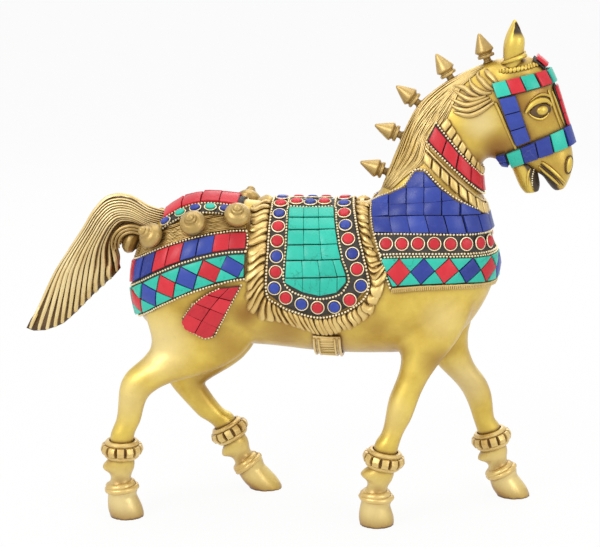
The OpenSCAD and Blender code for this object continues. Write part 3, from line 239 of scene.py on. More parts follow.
class Skin:
    """Brass surface on which ornaments are laid."""

    # Height of the barrel's axis, start of side rays and least distance from the spine.
    AXIS_Z: ClassVar[float] = 121.0
    FAR: ClassVar[float] = 90.0
    SPINE: ClassVar[float] = 0.001
    # Degrees between the rays of a section.
    TURN_STEP: ClassVar[int] = 3
    # Share of a band line that is sure to meet the body, and how finely the rest is searched.
    BAND_FROM: ClassVar[float] = 0.3
    BAND_HALVINGS: ClassVar[int] = 16
    BAND_STEPS: ClassVar[int] = 60

    def __init__(self, bm: bmesh.types.BMesh) -> None:
        """Index the faces of a mesh for rays.

        Args:
            bm: The mesh.
        """
        bm.normal_update()
        self.tree = BVHTree.FromBMesh(bm)
        self.tables: dict[float, list[tuple[float, Spot]]] = {}

    def shot(self, origin: Vector, direction: Vector, outward: Vector) -> Spot | None:
        """Find where a ray meets the brass.

        Args:
            origin: Start of the ray.
            direction: Direction of the ray.
            outward: Rough outward direction, which the normal follows.

        Returns:
            The place, or None where the ray misses.
        """
        point, normal, _, _ = self.tree.ray_cast(origin, direction)
        if point is None:
            return None
        return Spot(point, normal if normal.dot(outward) >= 0 else -normal)

    def seen(self, x: float, z: float, side: Side = Side.RIGHT) -> Spot | None:
        """Return the place seen from one side at drawing x and z."""
        out = Vector((0, side.value, 0))
        return self.shot(at(x, self.FAR * side.value, z), -out, out)

    def drawn(self, pairs: Sequence[Pair], side: Side = Side.RIGHT, per: int = 8) -> Trail:
        """Lay a smooth side-view line on the brass.

        Args:
            pairs: Drawing x and z of points on the line.
            side: Side of the horse.
            per: Samples between two points.

        Returns:
            The row of places.
        """
        spots = [self.seen(x, z, side) for x, z in sampled(pairs, per)]
        return Trail(s for s in spots if s)

    def band(self, x0: float, z0: float, x1: float, z1: float, bow: float = 0.0) -> Trail:
        """Follow a band line round the chest, rump or face to the middle plane.

        Args:
            x0: Drawing x of the start, on the flank.
            z0: Height of the start.
            x1: Drawing x of a point beyond the body.
            z1: Height there.
            bow: Rise of the line at its middle.

        Returns:
            The row of places on the right half.
        """
        def line(u: float) -> Pair:
            """Return drawing x and z a share u along the line."""
            return mix(x0, x1, u), mix(z0, z1, u) + bow * 4 * u * (1 - u)

        low, high = self.BAND_FROM, 1.0
        for _ in range(self.BAND_HALVINGS):
            middle = (low + high) / 2
            low, high = (middle, high) if self.seen(*line(middle)) else (low, middle)
        shares = [low * (1 - (1 - i / self.BAND_STEPS) ** 2) for i in range(self.BAND_STEPS + 1)]
        spots = [self.seen(*line(share)) for share in shares]
        return Trail(s for s in spots if s)

    def hoop(self, line: Sequence[float]) -> Trail:
        """Return the row along a band line from flank to flank, across the middle plane."""
        half = self.band(*line)
        return Trail(half.spots + half.mirrored().spots[::-1])

    def section(self, x: float) -> list[tuple[float, Spot]]:
        """Measure the girth of the barrel at one place along the back.

        Args:
            x: Drawing x of the section.

        Returns:
            Pairs of distance from the spine and place, down the right side.
        """
        key = round(x, 1)
        if key not in self.tables:
            centre = at(key, 0, self.AXIS_Z)
            rows, length, last = [], 0.0, None
            for i in range(180 // self.TURN_STEP + 1):
                turn = math.radians(self.TURN_STEP * i)
                out = Vector((0, -math.sin(turn), math.cos(turn)))
                spot = self.shot(centre, out, out)
                if spot:
                    length += (spot.point - last).length if last else 0.0
                    last = spot.point
                    rows.append((length / MM, spot))
            self.tables[key] = rows
        return self.tables[key]

    def girth(self, x: float, down: float, side: Side = Side.RIGHT) -> Spot:
        """Find a place on the barrel.

        Args:
            x: Drawing x along the back.
            down: Millimetres down the side from the spine.
            side: Side of the horse.

        Returns:
            The place.
        """
        rows = self.section(x)
        want = max(down, self.SPINE)
        k = 0
        while k < len(rows) - 2 and rows[k + 1][0] < want:
            k += 1
        (d0, a), (d1, b) = rows[k], rows[k + 1]
        spot = a.toward(b, (want - d0) / max(d1 - d0, SAME))
        return spot.mirrored() if side is Side.LEFT else spot

    def unrolled(self, pairs: Sequence[Pair], side: Side = Side.RIGHT) -> Trail:
        """Return the row along a smooth line given on the unrolled barrel."""
        return Trail(self.girth(x, down, side) for x, down in sampled(pairs))


class NodeSheet:
    """Node tree of one material, with short calls for its nodes."""

    def __init__(self, name: str) -> None:
        """Start a material with an empty tree.

        Args:
            name: Name of the material.
        """
        self.material = bpy.data.materials.new(name)
        self.material.use_nodes = True
        self.tree = self.material.node_tree
        self.tree.nodes.clear()
        coords = self.tree.nodes.new("ShaderNodeTexCoord")
        self.place = coords.outputs["Object"]

    def add(self, kind: str, sockets: dict[str | int, object] | None = None,
            **settings: object) -> bpy.types.Node:
        """Add a node.

        Args:
            kind: Node type without its prefix.
            sockets: Values or linked sockets by input name or number.
            settings: Properties of the node.

        Returns:
            The node.
        """
        node = self.tree.nodes.new("ShaderNode" + kind)
        for key, value in settings.items():
            setattr(node, key, value)
        for key, value in (sockets or {}).items():
            if isinstance(value, bpy.types.NodeSocket):
                self.tree.links.new(value, node.inputs[key])
            else:
                node.inputs[key].default_value = value
        return node

    def noise(self, scale: float, detail: float = 4.0, rough: float = 0.6,
              distortion: float = 0.0) -> bpy.types.NodeSocket:
        """Add a noise over the piece.

        Args:
            scale: Features in a metre.
            detail: Finer layers of the noise.
            rough: Strength of the finer layers.
            distortion: Swirl of the noise.

        Returns:
            The noise, from 0 to 1.
        """
        node = self.add("TexNoise", {"Vector": self.place, "Scale": scale, "Detail": detail,
                                     "Roughness": rough, "Distortion": distortion})
        return node.outputs["Fac"]

    def painted(self, name: str) -> bpy.types.NodeSocket:
        """Return a value painted on the piece's vertices."""
        return self.add("Attribute", attribute_name=name).outputs["Fac"]

    def openness(self, reach: float, samples: int) -> bpy.types.NodeSocket:
        """Return how open the surface is within this many millimetres, 0 in a deep hollow."""
        node = self.add("AmbientOcclusion", {"Distance": reach * MM}, samples=samples)
        return node.outputs["AO"]

    def spread(self, value: bpy.types.NodeSocket, span: Pair, to: Pair) -> bpy.types.NodeSocket:
        """Move a value from one range to another and hold it there.

        Args:
            value: The value.
            span: Range that it is read in.
            to: Range that it moves to.

        Returns:
            The moved value.
        """
        node = self.add("MapRange", {"Value": value, "From Min": span[0], "From Max": span[1],
                                     "To Min": to[0], "To Max": to[1]})
        return node.outputs["Result"]

    def joined(self, a: bpy.types.NodeSocket, b: bpy.types.NodeSocket | float,
               operation: str = "ADD") -> bpy.types.NodeSocket:
        """Return two values joined by a sum or another operation, held from 0 to 1."""
        return self.add("Math", {0: a, 1: b}, operation=operation, use_clamp=True).outputs[0]

    def blend(self, share: bpy.types.NodeSocket, a: object, b: object) -> bpy.types.NodeSocket:
        """Blend two colours.

        Args:
            share: Share of the second colour.
            a: First colour, a value or a socket.
            b: Second colour, a value or a socket.

        Returns:
            The blended colour.
        """
        a = (*a, 1.0) if isinstance(a, tuple) else a
        b = (*b, 1.0) if isinstance(b, tuple) else b
        return self.add("Mix", {0: share, 6: a, 7: b}, data_type="RGBA").outputs[2]

    def bump(self, height: bpy.types.NodeSocket, depth: float) -> bpy.types.NodeSocket:
        """Return a normal roughened by a height, with its depth in millimetres."""
        node = self.add("Bump", {"Height": height, "Distance": depth * MM, "Strength": 1.0})
        return node.outputs["Normal"]

    def close(self, shader: bpy.types.Node) -> bpy.types.Material:
        """Link the shader to the surface.

        Args:
            shader: The last shader node.

        Returns:
            The finished material.
        """
        out = self.add("OutputMaterial")
        self.tree.links.new(shader.outputs[0], out.inputs["Surface"])
        return self.material


class Finish:
    """Surface finish whose material is made once."""

    made: ClassVar[dict[str, bpy.types.Material]] = {}
    name: str

    def material(self) -> bpy.types.Material:
        """Give the finish's material, making it at first use.

        Returns:
            The material.
        """
        if self.name not in Finish.made:
            Finish.made[self.name] = self.paint()
        return Finish.made[self.name]

    def paint(self) -> bpy.types.Material:
        """Make the material."""
        raise NotImplementedError


@dataclass(frozen=True)
class BrassFinish(Finish):
    """Lacquered cast brass with brown patina in its hollows, painted shade and painted highlights.
    """

    name: str
    light: Colour
    deep: Colour
    patina: Colour
    roughness: float = 0.4
    # Reach of the narrow hollows, and how open they are where patina is full and where it ends.
    hollow: float = 2.5
    hollow_range: Pair = (0.35, 0.8)
    blotch: float = 0.12
    grain_depth: float = 0.03
    # Golden brown of the painted shade, then the near black of the deep painted shade in mouth, jaw
    # and ears.
    painted_shade: Colour = (0.29, 0.128, 0.012)
    painted_deep_shade: Colour = (0.030, 0.021, 0.015)
    deep_shade_range: Pair = (0.5, 1.0)
    deep_shade_share: float = 0.85
    # The same for the wide hollows, which take the golden brown painted shade.
    wide: float = 14.0
    wide_range: Pair = (0.4, 0.96)
    wide_share: float = 0.8
    # Pale colour of the painted highlights.
    painted_highlight: Colour = (0.84, 0.69, 0.36)
    # Metal, then the metal and added roughness where patina or painted shade lies.
    metal: float = 0.58
    darkened_metal: float = 0.3
    darkened_gloss: float = 0.3
    coat: float = 0.3
    coat_roughness: float = 0.24
    tone_scale: float = 60.0
    tone_range: Pair = (0.32, 0.62)
    mottle_scale: float = 420.0
    speck_range: Pair = (0.62, 0.8)
    gloss_range: Pair = (0.25, 0.75)
    gloss_step: Pair = (-0.06, 0.08)
    grain_scale: float = 1900.0
    grain_share: float = 0.6

    def paint(self) -> bpy.types.Material:
        """Make the material: tone, patina by hollows, painted shade and highlights, cast grain and
        a thin lacquer.

        Returns:
            The material.
        """
        sheet = NodeSheet(self.name)
        tone = sheet.noise(self.tone_scale, 5)
        mottle = sheet.noise(self.mottle_scale)
        grain = sheet.noise(self.grain_scale, 3)
        depth = sheet.spread(sheet.openness(self.hollow, 8), self.hollow_range, (1.0, 0.0))
        # Golden brown painted shade in the wide hollows.
        painted_shade = sheet.spread(sheet.openness(self.wide, 8), self.wide_range, (self.wide_share, 0.0))
        specks = sheet.spread(mottle, self.speck_range, (0.0, self.blotch))
        # Painted shade of mouth, jaw and ears, painted shade below and on the narrow sides, and
        # painted highlights.
        painted, shade_paint, highlight_paint = (sheet.painted(name) for name in ("patina_and_shade", "painted_shade", "painted_highlight"))
        patina_and_shade = sheet.joined(sheet.joined(depth, specks), painted)
        colour = sheet.blend(sheet.spread(tone, self.tone_range, (0.0, 1.0)), self.deep, self.light)
        colour = sheet.blend(highlight_paint, colour, self.painted_highlight)
        colour = sheet.blend(sheet.joined(painted_shade, shade_paint), colour, self.painted_shade)
        colour = sheet.blend(patina_and_shade, colour, self.patina)
        # Near black painted shade where the painted shade of mouth, jaw and ears is deep.
        deep_shade = sheet.spread(painted, self.deep_shade_range, (0.0, self.deep_shade_share))
        colour = sheet.blend(deep_shade, colour, self.painted_deep_shade)
        low, high = (self.roughness + step for step in self.gloss_step)
        gloss = sheet.joined(sheet.spread(mottle, self.gloss_range, (low, high)),
                             sheet.spread(patina_and_shade, (0.0, 1.0), (0.0, self.darkened_gloss)))
        height = sheet.joined(sheet.joined(grain, self.grain_share, "MULTIPLY"),
                              sheet.joined(mottle, 1 - self.grain_share, "MULTIPLY"))
        shader = sheet.add("BsdfPrincipled", {
            "Base Color": colour, "Roughness": gloss,
            "Metallic": sheet.spread(patina_and_shade, (0.0, 1.0), (self.metal, self.darkened_metal)),
            "Coat Weight": self.coat, "Coat Roughness": self.coat_roughness,
            "Normal": sheet.bump(height, self.grain_depth)})
        return sheet.close(shader)


@dataclass(frozen=True)
class StoneFinish(Finish):
    """Polished stone chips, each with its own tint, and fine veins."""

    name: str
    light: Colour
    deep: Colour
    vein: Colour
    vein_share: float = 0.5
    vein_scale: float = 130.0
    vein_width: float = 0.035
    patch_scale: float = 95.0
    patch_range: Pair = (0.5, 0.66)
    # Wandering of the veins, in metres, and the scale of its noise.
    warp: float = 0.006
    warp_scale: float = 300.0
    tint_share: float = 0.65
    cloud_scale: float = 240.0
    cloud_range: Pair = (0.3, 0.75)
    cloud_share: float = 0.35
    speck_scale: float = 1400.0
    speck_range: Pair = (0.3, 0.7)
    # Darker where a chip meets its lac: reach, how open it is there, colour and share.
    rim: float = 0.8
    rim_range: Pair = (0.3, 0.75)
    rim_darkening: Colour = (0.02, 0.015, 0.012)
    rim_share: float = 0.7
    roughness: float = 0.34
    gloss_step: Pair = (-0.06, 0.1)
    index: float = 1.5
    mirror: float = 0.35
    pit_depth: float = 0.02

    def veins(self, sheet: NodeSheet) -> bpy.types.NodeSocket:
        """Draw wandering veins in patches.

        Args:
            sheet: Node sheet of the material.

        Returns:
            Share of vein, from 0 to 1.
        """
        noise = sheet.add("TexNoise", {"Vector": sheet.place, "Scale": self.warp_scale,
                                       "Detail": 3.0})
        moved = sheet.add("VectorMath", {0: noise.outputs["Color"], 1: (self.warp,) * 3},
                          operation="MULTIPLY")
        moved = sheet.add("VectorMath", {0: sheet.place, 1: moved.outputs[0]}, operation="ADD")
        cracks = sheet.add("TexVoronoi", {"Vector": moved.outputs[0], "Scale": self.vein_scale},
                           feature="DISTANCE_TO_EDGE")
        line = sheet.spread(cracks.outputs["Distance"], (0.0, self.vein_width), (1.0, 0.0))
        patch = sheet.spread(sheet.noise(self.patch_scale, 3), self.patch_range,
                             (0.0, self.vein_share))
        return sheet.joined(line, patch, "MULTIPLY")

    def paint(self) -> bpy.types.Material:
        """Make the material: chip tint, clouds, veins, darkening at the rim and polish.

        Returns:
            The material.
        """
        sheet = NodeSheet(self.name)
        cloud = sheet.noise(self.cloud_scale, 5, 0.65, 0.4)
        speck = sheet.noise(self.speck_scale, 3)
        share = sheet.joined(sheet.joined(sheet.painted("tint"), self.tint_share, "MULTIPLY"),
                             sheet.spread(cloud, self.cloud_range, (0.0, self.cloud_share)))
        colour = sheet.blend(share, self.deep, self.light)
        colour = sheet.blend(self.veins(sheet), colour, self.vein)
        rim_darkness = sheet.spread(sheet.openness(self.rim, 6), self.rim_range, (self.rim_share, 0.0))
        colour = sheet.blend(rim_darkness, colour, self.rim_darkening)
        low, high = (self.roughness + step for step in self.gloss_step)
        shader = sheet.add("BsdfPrincipled", {
            "Base Color": colour, "Roughness": sheet.spread(speck, self.speck_range, (low, high)),
            "IOR": self.index, "Specular IOR Level": self.mirror,
            "Normal": sheet.bump(sheet.joined(cloud, speck, "MULTIPLY"), self.pit_depth)})
        return sheet.close(shader)


@dataclass(frozen=True)
class LacFinish(Finish):
    """Dark grainy lac that holds the stones."""

    name: str
    light: Colour
    deep: Colour
    grit_scale: float = 1700.0
    grit_range: Pair = (0.4, 0.75)
    grit_share: float = 0.7
    grit_depth: float = 0.15
    cloud_scale: float = 320.0
    cloud_range: Pair = (0.4, 0.7)
    cloud_share: float = 0.4
    gloss_range: Pair = (0.3, 0.7)
    roughness: Pair = (0.5, 0.8)

    def paint(self) -> bpy.types.Material:
        """Make the material: sooty clouds with grit.

        Returns:
            The material.
        """
        sheet = NodeSheet(self.name)
        grit = sheet.noise(self.grit_scale, 4, 0.7)
        cloud = sheet.noise(self.cloud_scale)
        share = sheet.joined(sheet.spread(grit, self.grit_range, (0.0, self.grit_share)),
                             sheet.spread(cloud, self.cloud_range, (0.0, self.cloud_share)))
        shader = sheet.add("BsdfPrincipled", {
            "Base Color": sheet.blend(share, self.deep, self.light),
            "Roughness": sheet.spread(grit, self.gloss_range, self.roughness),
            "Normal": sheet.bump(grit, self.grit_depth)})
        return sheet.close(shader)


SATIN = BrassFinish("satin_brass", (0.76, 0.56, 0.100), (0.60, 0.40, 0.052), (0.15, 0.072, 0.014))
PALE = BrassFinish("pale_brass", (0.80, 0.62, 0.27), (0.66, 0.45, 0.15), (0.11, 0.058, 0.022),
                   roughness=0.42, hollow=1.8, hollow_range=(0.3, 0.72), blotch=0.25)
FOLDS = BrassFinish("folded_brass", (0.76, 0.56, 0.205), (0.62, 0.41, 0.12), (0.25, 0.13, 0.034),
                    roughness=0.38, hollow=2.4, hollow_range=(0.2, 0.86), blotch=0.25,
                    wide_share=0.3)
AGED = BrassFinish("aged_brass", (0.54, 0.375, 0.125), (0.35, 0.22, 0.055), (0.11, 0.056, 0.014),
                   roughness=0.40, blotch=0.5, wide_share=0.3)
# Pale cream brass of the beads, bezels and teeth: their own pale tone, lightened further as painted
# highlight.
CREAM = BrassFinish("bead_brass", (0.92, 0.80, 0.53), (0.80, 0.64, 0.35), (0.09, 0.05, 0.022),
                    roughness=0.38, hollow=0.7, hollow_range=(0.25, 0.6), blotch=0.1,
                    wide_share=0.0)
HAIR = BrassFinish("engraved_brass", (0.66, 0.49, 0.185), (0.52, 0.35, 0.10), (0.17, 0.09, 0.025),
                   roughness=0.46, hollow=2.0, hollow_range=(0.25, 0.75), blotch=0.2)
STRAND = BrassFinish("strand_brass", (0.86, 0.69, 0.35), (0.72, 0.53, 0.21), (0.11, 0.056, 0.014),
                     roughness=0.42, hollow=1.6, hollow_range=(0.3, 0.7), blotch=0.3)
# Near black brass, as painted shade: the tail's core between its strands, the eye sockets, the
# mouth line and the nostril rings.
SHADE_BRASS = BrassFinish("painted_shade_brass", (0.13, 0.078, 0.032), (0.05, 0.028, 0.014), (0.02, 0.011, 0.006),
                   roughness=0.5)
TURQUOISE = StoneFinish("turquoise_chips", (0.042, 0.60, 0.445), (0.020, 0.44, 0.325),
                        (0.012, 0.06, 0.045), vein_share=0.7)
RED = StoneFinish("coral_red_chips", (0.70, 0.030, 0.045), (0.50, 0.016, 0.027),
                  (0.16, 0.005, 0.008), vein_share=0.35)
BLUE = StoneFinish("lapis_blue_chips", (0.044, 0.080, 0.41), (0.014, 0.027, 0.21),
                   (0.20, 0.20, 0.42), vein_share=0.3)
LAC = LacFinish("lac", (0.080, 0.066, 0.052), (0.017, 0.014, 0.012))


def add_piece(name: str, bm: bmesh.types.BMesh, finish: Finish, slot: Slot,
              nodes: Sequence[str] = (), sharp: float = 40.0) -> bpy.types.Object:
    """Turn a mesh into a piece of the horse.

    Args:
        name: Name of the piece.
        bm: Its mesh, which is freed.
        finish: Its finish.
        slot: The record's slot for that finish; not used.
        nodes: Solids that the piece stands for.
        sharp: Angle in degrees past which an edge stays sharp.

    Returns:
        The piece.
    """
    bmesh.ops.recalc_face_normals(bm, faces=bm.faces)
    mesh = bpy.data.meshes.new(name)
    bm.to_mesh(mesh)
    bm.free()
    mesh.shade_smooth()
    mesh.set_sharp_from_angle(angle=math.radians(sharp))
    mesh.materials.append(finish.material())
    piece = bpy.data.objects.new(name, mesh)
    bpy.context.scene.collection.objects.link(piece)
    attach(piece, "root")
    if nodes:
        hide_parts(*nodes)
    LOG.info("%s: %d faces", name, len(mesh.polygons))
    return piece


def shown(data: bpy.types.Mesh | bpy.types.Curve, modifiers: Modifiers = ()) -> bmesh.types.BMesh:
    """Put a mesh or curve in the scene for a moment and keep what it shows.

    Args:
        data: The mesh or curve.
        modifiers: Types and settings of modifiers, in order.

    Returns:
        The mesh that it shows.
    """
    holder = bpy.data.objects.new(data.name, data)
    bpy.context.scene.collection.objects.link(holder)
    for kind, settings in modifiers:
        modifier = holder.modifiers.new(kind, kind)
        for key, value in settings.items():
            setattr(modifier, key, value)
    graph = bpy.context.evaluated_depsgraph_get()
    result = bmesh.new()
    result.from_mesh(holder.evaluated_get(graph).to_mesh())
    bpy.data.objects.remove(holder)
    return result


# Modifiers that the cast pieces share.
ROUNDED = ("SUBSURF", {"levels": 2, "render_levels": 2})
SMOOTHED = ("SMOOTH", {"factor": 0.5, "iterations": 3})


def settled(bm: bmesh.types.BMesh, modifiers: Modifiers) -> bmesh.types.BMesh:
    """Run modifiers on a mesh and keep the result.

    Args:
        bm: The mesh, which is freed.
        modifiers: Types and settings, in order.

    Returns:
        The changed mesh.
    """
    mesh = bpy.data.meshes.new("settling")
    bm.to_mesh(mesh)
    bm.free()
    result = shown(mesh, modifiers)
    bpy.data.meshes.remove(mesh)
    return result


def relax(bm: bmesh.types.BMesh, verts: Sequence[bmesh.types.BMVert], passes: int = 1) -> None:
    """Smooth some vertices of a mesh.

    Args:
        bm: The mesh.
        verts: The vertices.
        passes: How often they are smoothed.
    """
    for _ in range(passes):
        bmesh.ops.smooth_vert(bm, verts=verts, factor=0.5, use_axis_x=True, use_axis_y=True,
                              use_axis_z=True)


def soften(bm: bmesh.types.BMesh, width: float, segments: int, limit: float) -> None:
    """Round the sharp edges of a mesh.

    Args:
        bm: The mesh, with its normals up to date.
        width: Width of the rounding, in millimetres.
        segments: Faces across the rounding.
        limit: Angle in degrees past which an edge is sharp.
    """
    rims = [e for e in bm.edges if len(e.link_faces) == 2
            and e.calc_face_angle() > math.radians(limit)]
    bmesh.ops.bevel(bm, geom=rims, offset=width * MM, offset_type="OFFSET", segments=segments,
                    profile=0.5, affect="EDGES", material=-1, clamp_overlap=True)


class Strands:
    """Bundle of round tapering strands, drawn as one curve."""

    def __init__(self, sides: int = 6) -> None:
        """Start an empty bundle.

        Args:
            sides: Sides of each strand.
        """
        self.curve = bpy.data.curves.new("strands", "CURVE")
        self.curve.dimensions = "3D"
        self.curve.bevel_depth = MM
        self.curve.bevel_resolution = max(0, sides // 2 - 2)
        self.curve.use_fill_caps = True

    def add(self, points: Sequence[Vector], radii: Sequence[float]) -> None:
        """Add one strand.

        Args:
            points: Points along it.
            radii: Its radius at each point, in millimetres.
        """
        line = self.curve.splines.new("POLY")
        line.points.add(len(points) - 1)
        for knot, point, radius in zip(line.points, points, radii):
            knot.co = (*point, 1.0)
            knot.radius = radius

    def tapered(self, points: Sequence[Vector], radius: float, start: float = 0.15,
                end: float = 0.1, full: float = 0.35) -> None:
        """Add a strand that swells to a radius and tapers to both ends.

        Args:
            points: Points along it.
            radius: Largest radius, in millimetres.
            start: Share of the radius at the start.
            end: Share of the radius at the end.
            full: Share of the length at which it is thickest.
        """
        last = len(points) - 1
        radii = []
        for i in range(last + 1):
            u = i / last
            v = u / full if u < full else (1 - u) / (1 - full)
            radii.append(radius * mix(start if u < full else end, 1.0, math.sin(v * math.pi / 2)))
        self.add(points, radii)

    def laid(self, trail: Trail, rise: float, radius: float, *taper: float) -> None:
        """Add a tapered strand along a row of places, raised by this many millimetres."""
        self.tapered([s.raised(rise) for s in trail.spots], radius, *taper)

    def mesh(self) -> bmesh.types.BMesh:
        """Turn the bundle into a mesh, which uses it up.

        Returns:
            The mesh.
        """
        bm = shown(self.curve)
        bmesh.ops.remove_doubles(bm, verts=bm.verts, dist=SAME)
        bpy.data.curves.remove(self.curve)
        return bm


@dataclass
class Casting:
    """Trunk, neck, head and legs, cast as one smooth brass body."""

    # Grain of the fused mesh, and a swelling that closes narrow gaps while the parts fuse.
    voxel: float = 1.06
    close: float = 0.35
    # Creases at the legs and below the ears: reach, lowest height and smoothing.
    blend_reach: float = 7.0
    blend_above: float = 70.0
    poll_reach: float = 3.0
    poll_above: float = 200.0
    ease_passes: int = 14
    # Heights below which an edge belongs to a sole and a point is set on the ground.
    sole_edge: float = 0.3
    sole: float = 0.6
    # Where the muzzle looks into the open mouth and takes painted shade, and how that shade fades.
    mouth_inward: Triple = (-0.8, 0.0, -0.6)
    mouth_z: Pair = (162.0, 180.0)
    mouth_x: float = 120.0
    mouth_half: float = 9.5
    mouth_facing: float = 0.3
    mouth_fade: float = 0.2
    mouth_edge: float = 2.0
    # Golden brown painted shade below, on the narrow sides and in the hollows.
    under_from: float = 0.15
    under_share: float = 0.6
    narrow_from: float = 0.72
    narrow_share: float = 0.55
    top_from: float = 0.5
    dab_fade: float = 1.5
    shade_dabs: tuple[Dab, ...] = (
        (97.0, 187.0, 12.0, 0.95), (87.0, 181.0, 9.0, 0.5), (107.5, 210.0, 9.0, 0.6),
        (111.5, 195.0, 9.0, 0.5), (125.5, 205.0, 8.0, 0.6), (118.0, 214.0, 8.0, 0.5),
        (117.0, 203.0, 14.0, 0.5), (126.0, 177.0, 10.0, 0.45), (-47.0, 60.0, 17.0, 0.75),
        (-6.0, 97.0, 18.0, 0.7), (16.0, 95.0, 14.0, 0.5), (40.0, 102.0, 12.0, 0.5),
        (-24.0, 106.0, 10.0, 0.85), (-33.0, 90.0, 13.0, 0.6), (70.0, 84.0, 12.0, 0.7),
        (50.0, 88.0, 9.0, 0.4),
        (-87.6, 18.7, 5.5, 0.6), (-31.9, 16.2, 5.5, 0.6), (41.2, 18.0, 5.5, 0.6),
        (102.0, 16.3, 5.5, 0.6), (-87.2, 36.5, 5.5, 0.6), (-40.2, 31.5, 5.5, 0.6),
        (44.2, 35.2, 5.5, 0.6), (97.2, 31.7, 5.5, 0.6))
    # Places painted pale as highlights.
    highlight_dabs: tuple[Dab, ...] = (
        (-68.0, 90.0, 22.0, 0.6), (-84.0, 62.0, 16.0, 0.4), (88.0, 200.0, 11.0, 0.6),
        (82.0, 62.0, 18.0, 0.6), (72.0, 106.0, 14.0, 0.35), (46.0, 58.0, 14.0, 0.3),
        (-88.0, 10.0, 24.0, 0.75), (38.0, 10.0, 24.0, 0.65), (-28.0, 12.0, 24.0, 0.5),
        (104.0, 12.0, 24.0, 0.65))
    body: tuple[str, ...] = ("trunk", "head_and_neck")
    limbs: tuple[str, ...] = tuple(f"{leg}_leg" for leg in LEGS)

    def body_mesh(self) -> bmesh.types.BMesh:
        """Join trunk and head in one shell, open between them.

        Returns:
            The mesh.
        """
        bm = merged_copy(*self.body)
        seam = {v for e in bm.edges if len(e.link_faces) > 2 for v in e.verts}
        caps = [f for f in bm.faces if all(v in seam for v in f.verts)]
        bmesh.ops.delete(bm, geom=caps, context="FACES_ONLY")
        return bm

    def build(self, ears: "Ears") -> bmesh.types.BMesh:
        """Return the fused, smoothed mesh of the casting.

        Args:
            ears: The ears, for the swellings below them.

        Returns:
            The mesh.
        """
        bm = self.body_mesh()
        for name in self.limbs:
            bm.from_mesh(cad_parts[name].data)
        bmesh.ops.remove_doubles(bm, verts=bm.verts, dist=SAME)
        crease = bm.edges.layers.float.new("crease_edge")
        for edge in bm.edges:
            if all(v.co.z < self.sole_edge * MM for v in edge.verts):
                edge[crease] = 1.0
        ears.add_mounds(bm)
        bm = settled(bm, (
            ROUNDED,
            ("DISPLACE", {"strength": self.close * MM, "mid_level": 0.0}),
            ("REMESH", {"mode": "VOXEL", "voxel_size": self.voxel * MM}),
            ("DISPLACE", {"strength": -self.close * MM, "mid_level": 0.0}),
            SMOOTHED))
        body = Skin(self.body_mesh())
        self.ease(bm, body, Skin(merged_copy(*self.limbs)), self.blend_reach, self.blend_above)
        self.ease(bm, body, ears.mound_skin(), self.poll_reach, self.poll_above)
        for vert in bm.verts:
            if vert.co.z < self.sole * MM:
                vert.co.z = 0.0
        return bm

    def ease(self, bm: bmesh.types.BMesh, first: Skin, second: Skin, reach: float,
             above: float) -> None:
        """Smooth the crease where two parts of the casting meet.

        Args:
            bm: Mesh of the casting.
            first: One part.
            second: The other part.
            reach: Distance from both parts that is smoothed, in millimetres.
            above: Height from which it applies, in millimetres.
        """
        near = [v for v in bm.verts if v.co.z > above * MM
                and first.tree.find_nearest(v.co, reach * MM)[0] is not None
                and second.tree.find_nearest(v.co, reach * MM)[0] is not None]
        relax(bm, near, self.ease_passes)

    def painted(self, place: Vector, dabs: Sequence[Dab]) -> float:
        """Return the strongest of some soft round dabs at a place.

        Args:
            place: The place.
            dabs: Side-view centre, radius and strength of each dab, in millimetres.

        Returns:
            Strength from 0 to 1.
        """
        share = 0.0
        for x, z, reach, most in dabs:
            way = place - at(x, 0, z)
            near = 1 - (way.x ** 2 + way.z ** 2) / (reach * MM) ** 2
            share = max(share, most * max(0.0, near) ** self.dab_fade)
        return share

    def paint_shade_and_highlights(self, bm: bmesh.types.BMesh) -> None:
        """Paint golden brown shade on the undersides, the narrow sides and the dabbed hollows, and
        paint highlights in pale dabs.

        Args:
            bm: Mesh of the casting.
        """
        painted_shade = bm.verts.layers.float.new("painted_shade")
        painted_highlight = bm.verts.layers.float.new("painted_highlight")
        for vert in bm.verts:
            n = vert.normal
            # Painted shade on faces that look down and on the narrow sides, and in the shade dabs;
            # pale dabs are painted highlights.
            under = max(0.0, -n.z - self.under_from) * self.under_share
            narrow = max(0.0, self.narrow_share * (self.narrow_from - abs(n.y)))
            vert[painted_shade] = max(under, narrow if n.z < self.top_from else 0.0,
                             self.painted(vert.co, self.shade_dabs))
            vert[painted_highlight] = self.painted(vert.co, self.highlight_dabs)

    def shade_mouth(self, bm: bmesh.types.BMesh) -> None:
        """Paint shade on the side of the muzzle that looks into the open mouth.

        Args:
            bm: Mesh of the casting.
        """
        inward = Vector(self.mouth_inward)
        patina_and_shade = bm.verts.layers.float.new("patina_and_shade")
        bm.normal_update()
        for vert in bm.verts:
            p = vert.co / MM
            if self.mouth_z[0] < p.z < self.mouth_z[1] and p.x > self.mouth_x:
                facing = (vert.normal.dot(inward) - self.mouth_facing) / self.mouth_fade
                vert[patina_and_shade] = held(min(facing, (self.mouth_half - abs(p.y)) / self.mouth_edge))

    def dress(self, bm: bmesh.types.BMesh) -> None:
        """Paint shade and highlights on the casting and add it to the horse.

        Args:
            bm: Its mesh.
        """
        self.shade_mouth(bm)
        self.paint_shade_and_highlights(bm)
        add_piece("brass_casting", bm, SATIN, Slot.SATIN, self.body + self.limbs, 75)


